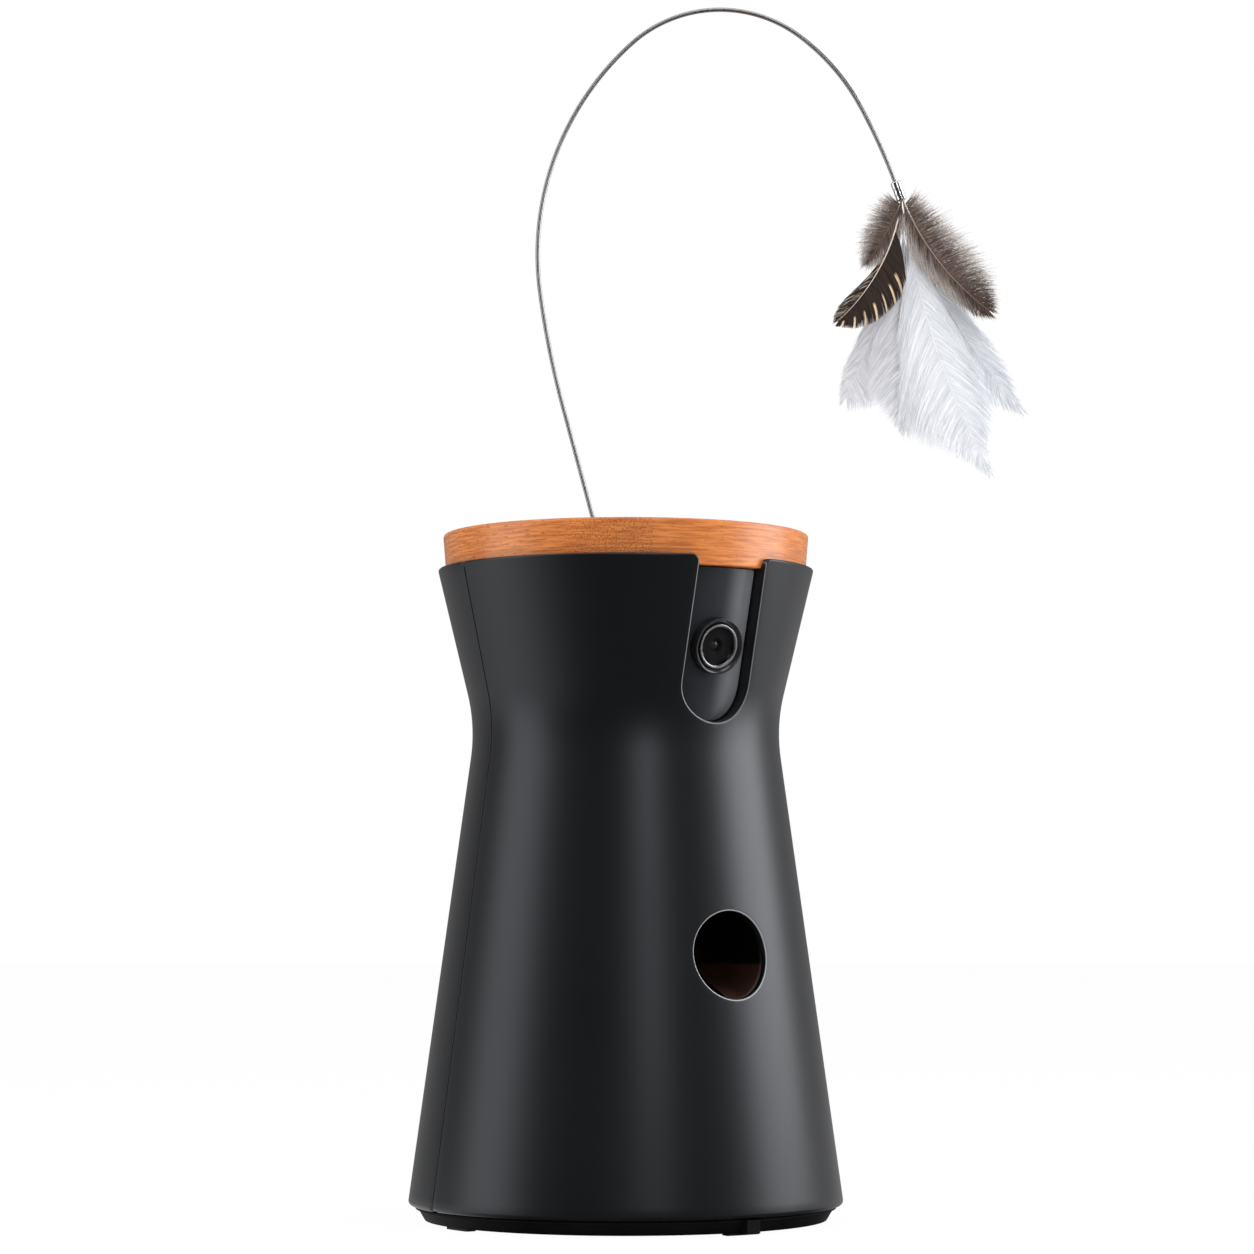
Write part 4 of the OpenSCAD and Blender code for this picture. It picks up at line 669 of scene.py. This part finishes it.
plug_outline = eased(
    [(bore_r, bore_low), (bore_r, collar_top), (collar_r, collar_top), (collar_r, collar_low),
     (plug_r, collar_low), (plug_r, plug_low), (pin, plug_low), (pin, bore_low)],
    [0, 0.2, 0.7, 0.15, 0, 0.4, 0, 0])
piece("wand_stopper", *turned(plug_outline[::-1], (0, wand_y, 0), (0, 0, 1)),
      finishes["black_plastic"], "wand_plug", "wand_plug")


def in_wand(u, v, z):
    """A point of the wand, u along its reach and v out of its plane, in the frame of the part."""
    c, s = math.cos(wand_turn), math.sin(wand_turn)
    return np.stack([c * u - s * v, wand_y + s * u + c * v, z], -1)


def bent_line(start, heading, bends, step):
    """A line in the wand's plane: each bend is (length, turn), and the heading, from straight up
    towards the reach, turns evenly along it. Points are sums of chords along the heading."""
    length, turn = np.array(bends).T
    count = np.maximum(2, (length / step).astype(int))
    lengths, turns = np.repeat(length / count, count), np.repeat(turn / count, count)
    ends = heading + np.cumsum(turns)
    middle = ends - turns / 2
    chord_l = lengths * np.sinc(turns / 2 / np.pi)
    u = start[0] + np.hstack([[0], np.cumsum(chord_l * np.sin(middle))])
    z = start[1] + np.hstack([[0], np.cumsum(chord_l * np.cos(middle))])
    return u, z, np.hstack([[heading], ends])


def swept(u, z, heading, radius, sides=14):
    """A round section carried along a line in the wand's plane, closed at both ends."""
    a = around(sides)
    r = np.broadcast_to(radius, u.shape)[:, None]
    out = r * np.cos(a)
    points = in_wand(u[:, None] + out * np.cos(heading)[:, None], r * np.sin(a) + 0 * out,
                     z[:, None] - out * np.sin(heading)[:, None])
    ends = [np.broadcast_to(points[i].mean(0), (1, sides, 3)) for i in (0, -1)]
    points = np.vstack([ends[0], points, ends[1]])
    return points.reshape(-1, 3), grid_quads(len(points), sides)


arch_r, wand_bend_r, wire_step = 44.7, 8, 2.0
wand_arcs = [(6.9 * arch_r, 7.5), (2.2 * arch_r, 54.9), (arch_r, 79.6),
             (1.66 * arch_r, 25.1), (4.7 * arch_r, 8.6)]
wand_foot, wand_bend_z, wand_lean, wand_straight = 216.4, 229.2, math.radians(15), 41.6
bends = [(wand_bend_z - wand_foot, 0.0), (wand_bend_r * wand_lean, -wand_lean), (wand_straight, 0.0)]
bends += [(r * math.radians(t), math.radians(t)) for r, t in wand_arcs]
wire_u, wire_z, wire_h = bent_line((0.0, wand_foot), 0.0, bends, wire_step)
spring_wire = grained("spring_wire", (0.30, 0.30, 0.31), (0.38, 0.38, 0.39), 0.28, 0.06, 0,
                      0.3, 2.0, 0.5, Metallic=1.0)
piece("spring_wire", *swept(wire_u, wire_z, wire_h, wire_r), spring_wire, "wand", "wand_wire")

end_u, end_z, hang = wire_u[-1], wire_z[-1], wire_h[-1]
ferrule_r, ferrule_mid, ferrule_half, ferrule_round = 1.75, 0.5, 3.0, 0.62
crimps, crimp_wide, crimp_deep = (0.2, 2.4), 0.5, 0.08
along_f = np.hstack([[-3.0, -2.98, -2.85], np.linspace(-2.6, 3.6, 40), [3.85, 3.98, 4.0]])
crimp = sum(np.exp(-((along_f - at) / crimp_wide) ** 2) for at in crimps)
past_flat = (np.abs(along_f - ferrule_mid) - ferrule_half).clip(0) / ferrule_round
ferrule_rs = ferrule_r * np.sqrt(np.maximum(0.2, 1 - past_flat ** 2)) - crimp_deep * crimp
bright_crimp = grained("bright_crimp", (0.55, 0.56, 0.58), (0.70, 0.71, 0.73), 0.14, 0.14, 0.01,
                       0.7, 2.0, Metallic=1.0)
ferrule = swept(end_u + along_f * math.sin(hang), end_z + along_f * math.cos(hang),
                np.full(len(along_f), hang), ferrule_rs, 28)
piece("crimped_ferrule", *ferrule, bright_crimp, "wand", "wand_ferrule")

# Feathers: each has a pale tapering shaft and rows of separate barbs that sweep towards its tip.
# The white ones are soft plumes, the brown ones are downy at the root and closed at the tip.
plume_l, quill_d = 101.0, 0.55
root_step, row_step, root_out = 0.76 * quill_d, 1.3 * quill_d, 4.2
shaft_rows, shaft_sides, shaft_front = 28, 6, 0.25
rng = np.random.default_rng(20)
# heading from straight down and tilt towards the back, length and bare quill, bend along the length,
# and the root's place across and deep
Spec = collections.namedtuple("Spec", "heading tilt length bare bend across deep")


def hung(spec, x, y, z):
    """Points of a feather that hangs straight down from its root, turned and tilted into its place."""
    heading, tilt = math.radians(spec.heading), math.radians(spec.tilt)
    y, z = y * math.cos(tilt) - z * math.sin(tilt), y * math.sin(tilt) + z * math.cos(tilt)
    x, z = x * math.cos(heading) - z * math.sin(heading), x * math.sin(heading) + z * math.cos(heading)
    across = -spec.across * root_step
    u = end_u + root_out * math.sin(hang) + across * math.cos(hang) + x
    up = end_z + root_out * math.cos(hang) - across * math.sin(hang) + z
    return in_wand(u, y + spec.deep * row_step, up)


def midline(spec, t):
    """The shaft's line, an arc that leaves straight down: place and direction at a share t of its length."""
    turn = math.radians(spec.bend)
    r = spec.length / turn
    return r * (1 - np.cos(turn * t)), -r * np.sin(turn * t), turn * t


def barb_rows(spec, side, count, span, reaches, sweeps, width, fray, curl=0.1, segments=7):
    """Barbs on one side of a shaft, as narrow ribbons. Each follows a curve with three guide points: its
    root on the shaft, a point a little way out, and its tip, which lies beside the shaft by its reach and
    further along it by its sweep. Reach and sweep are read from values spread evenly over the span.
    Fray scatters the tips and draws them into tufts, and curl bends them out of the vane. Gives points,
    quads and (along, out) pairs."""
    share, column = np.linspace(0, 1, count)[:, None], (count, 1)
    bare = spec.bare / spec.length
    even = bare + (1 - bare) * (span[0] + (span[1] - span[0]) * share)
    t0 = np.clip(even + rng.normal(0, 0.2 / count, column), 0, 1)
    reach = np.interp(share, np.linspace(0, 1, len(reaches)), reaches)
    reach = reach * (1 + fray * rng.normal(0, 0.2, column))
    clump = np.sin(share * count * 0.45 + 2 * np.sin(share * count * 0.07))
    sweep = np.interp(share, np.linspace(0, 1, len(sweeps)), sweeps)
    sweep = sweep + fray * (rng.normal(0, 0.8, column) + 1.2 * clump)
    t1 = t0 + sweep / spec.length
    inside = np.clip(t1, 0, 1)
    over = (t1 - inside) * spec.length
    x0, z0, h0 = midline(spec, t0)
    x1, z1, h1 = midline(spec, inside)
    x2 = x1 + side * reach * np.cos(h1) + over * np.sin(h1)
    z2 = z1 + side * reach * np.sin(h1) - over * np.cos(h1)
    xm = 0.55 * x0 + 0.45 * x2 + side * 0.22 * reach * np.cos(h0)
    zm = 0.55 * z0 + 0.45 * z2 + side * 0.22 * reach * np.sin(h0)
    y2 = curl * reach + fray * rng.normal(0, 0.6, column)
    t = np.linspace(0, 1, segments)[None, :]
    wave = fray * 0.3 * np.sin(5 * t + 6.28 * rng.random(column)) * t
    x = (1 - t) ** 2 * x0 + 2 * t * (1 - t) * xm + t ** 2 * x2 + wave
    z = (1 - t) ** 2 * z0 + 2 * t * (1 - t) * zm + t ** 2 * z2
    y = t ** 2 * y2 + wave
    dx, dz = np.gradient(x, axis=1), np.gradient(z, axis=1)
    size = np.maximum(np.hypot(dx, dz), 1e-9)
    half = 0.5 * width * (1 - 0.82 * t ** 1.5)
    twist = 0.3 * rng.normal(0, 1, column)
    nx, nz = -dz / size * half, dx / size * half
    edge = [hung(spec, x + k * nx, y + k * half * twist, z + k * nz) for k in (-1, 1)]
    points = np.stack(edge, 2).reshape(-1, 3)
    base = (np.arange(count)[:, None] * segments + np.arange(segments - 1)[None, :]) * 2
    quads = np.stack([base, base + 1, base + 3, base + 2], -1).reshape(-1, 4)
    out = np.broadcast_to((0.5 + 0.5 * side * t)[:, :, None], (count, segments, 2)).reshape(-1)
    return points, quads, np.stack([np.repeat(t0, segments * 2), out], -1)


def shaft(spec, thick, tip):
    """The tapering shaft, a six-sided section carried along the midline up to its tip. Its out value
    of 2 sets it apart from the barbs, whose values run from 0 to 1."""
    t = np.hstack([[0.0], np.linspace(0, tip, shaft_rows - 2), [tip]])
    x, z, h = midline(spec, t)
    a = around(shaft_sides)
    r = (thick * (1 - 0.8 * t / tip))[:, None]
    r[[0, -1]] = 0
    points = hung(spec, x[:, None] + r * np.cos(a) * np.cos(h)[:, None], r * np.sin(a) - shaft_front,
                  z[:, None] + r * np.cos(a) * np.sin(h)[:, None])
    uv = np.stack([np.repeat(t, shaft_sides), np.full(shaft_rows * shaft_sides, 2.0)], -1)
    return points.reshape(-1, 3), grid_quads(shaft_rows, shaft_sides)[:, ::-1], uv


def feather(name, spec, material, thick, tip, *rows):
    """One feather from its shaft and its rows of barbs. Its length and bare quill are given as shares
    of the longest plume."""
    spec = spec._replace(length=plume_l * spec.length, bare=plume_l * spec.bare)
    points, quads, uv = zip(shaft(spec, thick, tip), *(barb_rows(spec, *row) for row in rows))
    starts = np.cumsum([0] + [len(group) for group in points])
    quads = np.vstack([group + start for group, start in zip(quads, starts)])
    piece(name + "_barbs", np.vstack(points), quads, material, "wand", name, uv=np.vstack(uv))


def feather_finish(name, colour, quill):
    """A soft matt feather with a quill of its own colour; each barb has its own shade."""
    material, shader, place = finish(
        name, Roughness=0.75, Sheen_Weight=0.2, Sheen_Roughness=0.5, Specular_IOR_Level=0.2)
    vane = place.node("ShaderNodeUVMap", {"uv_map": "vane"}, {})
    along, out = vane.part(0), vane.part(1)
    barb = place.node("ShaderNodeCombineXYZ", {},
                      {0: along * 0.1, 1: out * 0.001, 2: out.between(0.49, 0.51) * 0.04})
    strand = barb.noise(1.8, 2.0).between(0.32, 0.68)
    on_quill = out.between(1.4, 1.6) * along.between(0.1, 0.16)
    wear(shader, place, Base_Color=on_quill.mix(colour(along, out, strand), quill))
    return material


def plume_colour(along, out, strand):
    """White, with a grey-brown root."""
    white = strand.mix((0.66, 0.69, 0.75), (0.94, 0.95, 0.975))
    return along.between(0.09, 0.16).mix((0.20, 0.14, 0.115), white)


def down_colour(along, out, strand):
    """Grey-brown, dark at the shaft and pale at the tips."""
    edge = (out - 0.5).math("ABSOLUTE").between(0.1, 0.42)
    return edge.mix(strand.mix((0.028, 0.017, 0.013), (0.20, 0.14, 0.115)),
                    strand.mix((0.22, 0.175, 0.155), (0.62, 0.57, 0.54)))


def brown_colour(along, out, strand):
    """Down that darkens towards the feather's end."""
    end = strand.mix((0.016, 0.009, 0.006), (0.12, 0.075, 0.058))
    return along.between(0.55, 0.9).mix(down_colour(along, out, strand), end)


def barred_colour(along, out, strand):
    """Dark brown, with pale bars on the outer part of one side and pale strands on the other."""
    vane = strand.mix((0.014, 0.008, 0.005), (0.040, 0.024, 0.017))
    bar = (along * 78.0).math("SINE").between(0.78, 0.92)
    bar = bar * out.between(0.70, 0.76) * along.between(0.38, 0.42)
    pale = (1 - out.between(0.40, 0.48)) * strand.between(0.55, 0.8)
    return (pale * 0.8).mix(bar.mix(vane, (0.72, 0.54, 0.34)), (0.50, 0.41, 0.33))


plume_white = feather_finish("plume_white", plume_colour, (0.85, 0.86, 0.89))
tuft_down = feather_finish("tuft_down", down_colour, (0.20, 0.14, 0.115))
brown_down = feather_finish("brown_down", brown_colour, (0.30, 0.22, 0.18))
barred_vane = feather_finish("barred_vane", barred_colour, (0.62, 0.53, 0.45))
feather("barred_feather", Spec(-8, -9, 0.505, 0.09, -40, -1, -1.5), barred_vane, 0.3, 0.95,
        (1, 200, (0.05, 0.93), (4.5, 9.5, 11, 10.4, 8.8, 5.6, 0.6), (6, 7, 7, 6.5, 6, 5, 3), 0.6, 0.05),
        (-1, 170, (0.12, 0.93), (0.6, 1.6, 2.8, 3.6, 3.6, 2.6, 0.5), (9, 10, 10, 9, 8, 6, 3), 0.42, 0.15))
feather("down_tuft", Spec(-22, -3, 0.25, 0.03, -14, -1, -0.5), tuft_down, 0.12, 0.9,
        (-1, 1000, (-0.1, 0.95), (5.5, 6.8, 7, 6.5, 5, 2.5, 0.3), (-1.5, 0, 1.5, 3, 4, 4, 2),
         0.14, 0.9, 0.2, 9),
        (1, 520, (-0.1, 0.95), (4, 6, 6, 3.5, 0.5), (6, 10, 9, 5, 2), 0.18, 0.7, -0.2, 8))
feather("brown_feather", Spec(20, -9, 0.505, 0.05, 32, 1, -1.5), brown_down, 0.25, 0.96,
        (1, 1400, (-0.08, 0.95), (5, 8, 10, 11, 11, 9.5, 6, 0.5), (-3, -1, 0.5, 2, 4, 5, 5, 3),
         0.15, 0.9, 0.15, 9),
        (-1, 900, (-0.06, 0.96), (4, 6, 5.5, 5, 4.5, 4, 0.8), (7, 11, 11, 10, 8, 6, 3), 0.2, 0.6, 0.1, 8))
feather("white_plume_main", Spec(6, -3, 1, 0.1, 22, 1, -0.5), plume_white, 0.26, 0.95,
        (1, 680, (0, 0.95), (1.5, 6, 9, 11, 11, 9, 5.5, 2.5, 0.3), (12, 18, 22, 23, 21, 17, 12, 7, 4),
         0.36, 0.45),
        (-1, 680, (0, 0.95), (1.5, 8, 13, 17, 18, 15, 10, 5, 0.5), (12, 20, 26, 27, 23, 16, 10, 6, 4),
         0.36, 0.45))
feather("white_plume_mid", Spec(4, 3, 0.81, 0.12, -6, -1, 0.5), plume_white, 0.26, 0.9,
        (1, 520, (0, 0.92), (1.5, 6, 9, 10, 10, 8, 4, 0.6), (10, 15, 18, 18, 15, 11, 7, 4), 0.36, 0.45),
        (-1, 520, (0, 0.92), (1.5, 7, 11, 12, 12, 10, 5.5, 0.8), (10, 15, 18, 18, 15, 11, 7, 4), 0.36, 0.45))
feather("white_plume_left", Spec(-5, 9, 0.71, 0.12, -22, -1, 1.5), plume_white, 0.24, 0.93,
        (1, 460, (0, 0.95), (1.5, 5, 8, 10, 11, 11, 8.5, 2.5), (10, 13, 15, 15, 13, 11, 8, 4), 0.36, 0.4),
        (-1, 460, (0, 0.95), (1, 2.5, 3.5, 4, 4.5, 4.5, 3, 0.6), (10, 13, 15, 15, 13, 10, 7, 4), 0.36, 0.4))
feather("white_plume_right", Spec(16, 3, 0.82, 0.14, 27, 1, 0.5), plume_white, 0.24, 0.95,
        (1, 440, (0, 0.95), (1, 3.5, 5, 6, 5.5, 4, 2, 0.4), (10, 15, 18, 18, 16, 12, 8, 5), 0.3, 0.6),
        (-1, 480, (0, 0.95), (1.5, 7, 10, 11, 10.5, 8, 4, 0.8), (10, 15, 18, 18, 16, 12, 8, 5), 0.3, 0.6))
feather("white_plume_back", Spec(15, 9, 0.67, 0.14, 14, 1, 1.5), plume_white, 0.24, 0.92,
        (1, 400, (0, 0.92), (1.5, 6, 8, 8, 7, 4, 0.8), (9, 14, 16, 15, 12, 8, 5), 0.36, 0.45),
        (-1, 400, (0, 0.92), (1.5, 6, 9, 9, 8, 5, 0.8), (9, 14, 16, 15, 12, 8, 5), 0.36, 0.45))

# every node of the CAD takes the finish of its slot
for name, node in nodes.items():
    node.data.materials.clear()
    node.data.materials.append(finishes.get(slot_of[name], plume_white))

# Studio: a white floor and backdrop, tall soft boxes left and right, a strip in front and a box above,
# and the camera at the photograph's place, looking a little up at the object from low on its left.
axis_px, frame_px, focal_px, horizon_px, sensor = 625.8, 1254, 3600.0, 285, 36.0
azimuth, eye_distance, eye_z = math.radians(-34.5), 1194.0, 101.0
pitch = math.atan(horizon_px / focal_px)


def round_about(degrees, distance, z):
    """A place seen at an angle to the right of the camera's own direction."""
    a = azimuth + math.radians(degrees)
    return np.array([math.sin(a) * distance, -math.cos(a) * distance, z])


camera_data = bpy.data.cameras.new("camera")
camera_data.sensor_width = sensor
camera_data.lens = sensor * focal_px / frame_px
camera_data.clip_start = 0.05
camera = placed("camera", camera_data)
camera.location = round_about(0, eye_distance, eye_z) * MM
camera.rotation_euler = (math.pi / 2 + pitch, 0, azimuth + math.atan((axis_px - frame_px / 2) / focal_px))
bpy.context.scene.camera = camera

toward = round_about(0, 1, 0)
rightward = np.array([math.cos(azimuth), math.sin(azimuth), 0.0])
half, near, far = 4, 0.6, 6
floor_corners = [(-half, near), (half, near), (half, -far), (-half, -far)]
floor_mesh = bpy.data.meshes.new("floor")
floor_mesh.from_pydata([tuple(r * rightward + t * toward) for r, t in floor_corners], [], [(0, 1, 2, 3)])
floor = placed("floor", floor_mesh)
paper, shader, place = finish("paper", Base_Color=(0.85, 0.85, 0.85, 1), Roughness=0.9)


def seen_rays(tree):
    """Two values: 1 for rays from the camera, and 1 for rays from gloss or through glass."""
    path = tree.nodes.new("ShaderNodeLightPath")
    seen, gloss, glass = [Socket(tree, path.outputs["Is " + kind + " Ray"])
                          for kind in ("Camera", "Glossy", "Transmission")]
    return seen, (gloss + glass).math("MINIMUM", 1.0)


camera_ray, mirrored_ray = seen_rays(place.tree)
aside = place.part(0) * float(rightward[0]) + place.part(1) * float(rightward[1])
ahead = place.part(0) * float(toward[0]) + place.part(1) * float(toward[1])
bearing = aside.math("ARCTAN2", ahead)
leftward = -1.0 * bearing
left_lit = leftward.between(0.5, 1.2) * (1 - 0.6 * leftward.between(1.6, 2.2))
mirrored_floor = 0.03 + 0.95 * left_lit + 0.6 * bearing.between(1.0, 1.7)
glow = place.node("ShaderNodeEmission", {}, {"Strength": camera_ray + mirrored_ray * mirrored_floor})
glowing, lit = 0.975 * camera_ray + 0.95 * mirrored_ray, Socket(place.tree, shader.outputs[0])
both = place.node("ShaderNodeMixShader", {}, {0: glowing, 1: lit, 2: glow})
place.tree.links.new(both.out, place.tree.nodes["Material Output"].inputs[0])
floor_mesh.materials.append(paper)


def soft_box(name, where, aim, size, power):
    """A rectangular lamp of (width, height) in metres at a place, turned to face a point."""
    lamp = bpy.data.lights.new(name, "AREA")
    lamp.shape, lamp.size, lamp.size_y, lamp.energy = "RECTANGLE", size[0], size[1], power
    made = placed(name, lamp)
    made.location = where
    across, ahead, up = aim - where
    turn = math.atan2(ahead, across) - math.pi / 2
    made.rotation_euler = (math.atan2(math.hypot(across, ahead), -up), 0, turn)


soft_box("right_box", round_about(94, 1.1, 0.56), (0, 0, 0.2), (0.8, 0.94), 12.4)
soft_box("left_box", round_about(-78, 1.1, 0.85), (0, 0, 0.2), (0.85, 2.1), 12)
soft_box("front_strip", round_about(15, 1.3, 0.62), (0, 0, 0.12), (0.32, 0.5), 2.2)
soft_box("top_box", round_about(20, 0.4, 1.5), (0, 0, 0.2), (1.2, 1.2), 9)

world = bpy.data.worlds.new("world")
bpy.context.scene.world = world
world.use_nodes = True
sky = world.node_tree
camera_ray, mirrored_ray = seen_rays(sky)
direction = Socket(sky, sky.nodes.new("ShaderNodeTexCoord").outputs["Generated"])
behind = -1.0 * (direction.part(0) * float(toward[0]) + direction.part(1) * float(toward[1]))
backdrop_seen = 0.02 + 0.32 * behind.between(0.25, 0.75)
strength = camera_ray + mirrored_ray * backdrop_seen + (1 - camera_ray) * (1 - mirrored_ray) * 0.6
sky.links.new(strength.out, sky.nodes["Background"].inputs["Strength"])
sky.nodes["Background"].inputs["Color"].default_value = (1, 1, 1, 1)

bpy.context.scene.view_settings.view_transform = "Standard"
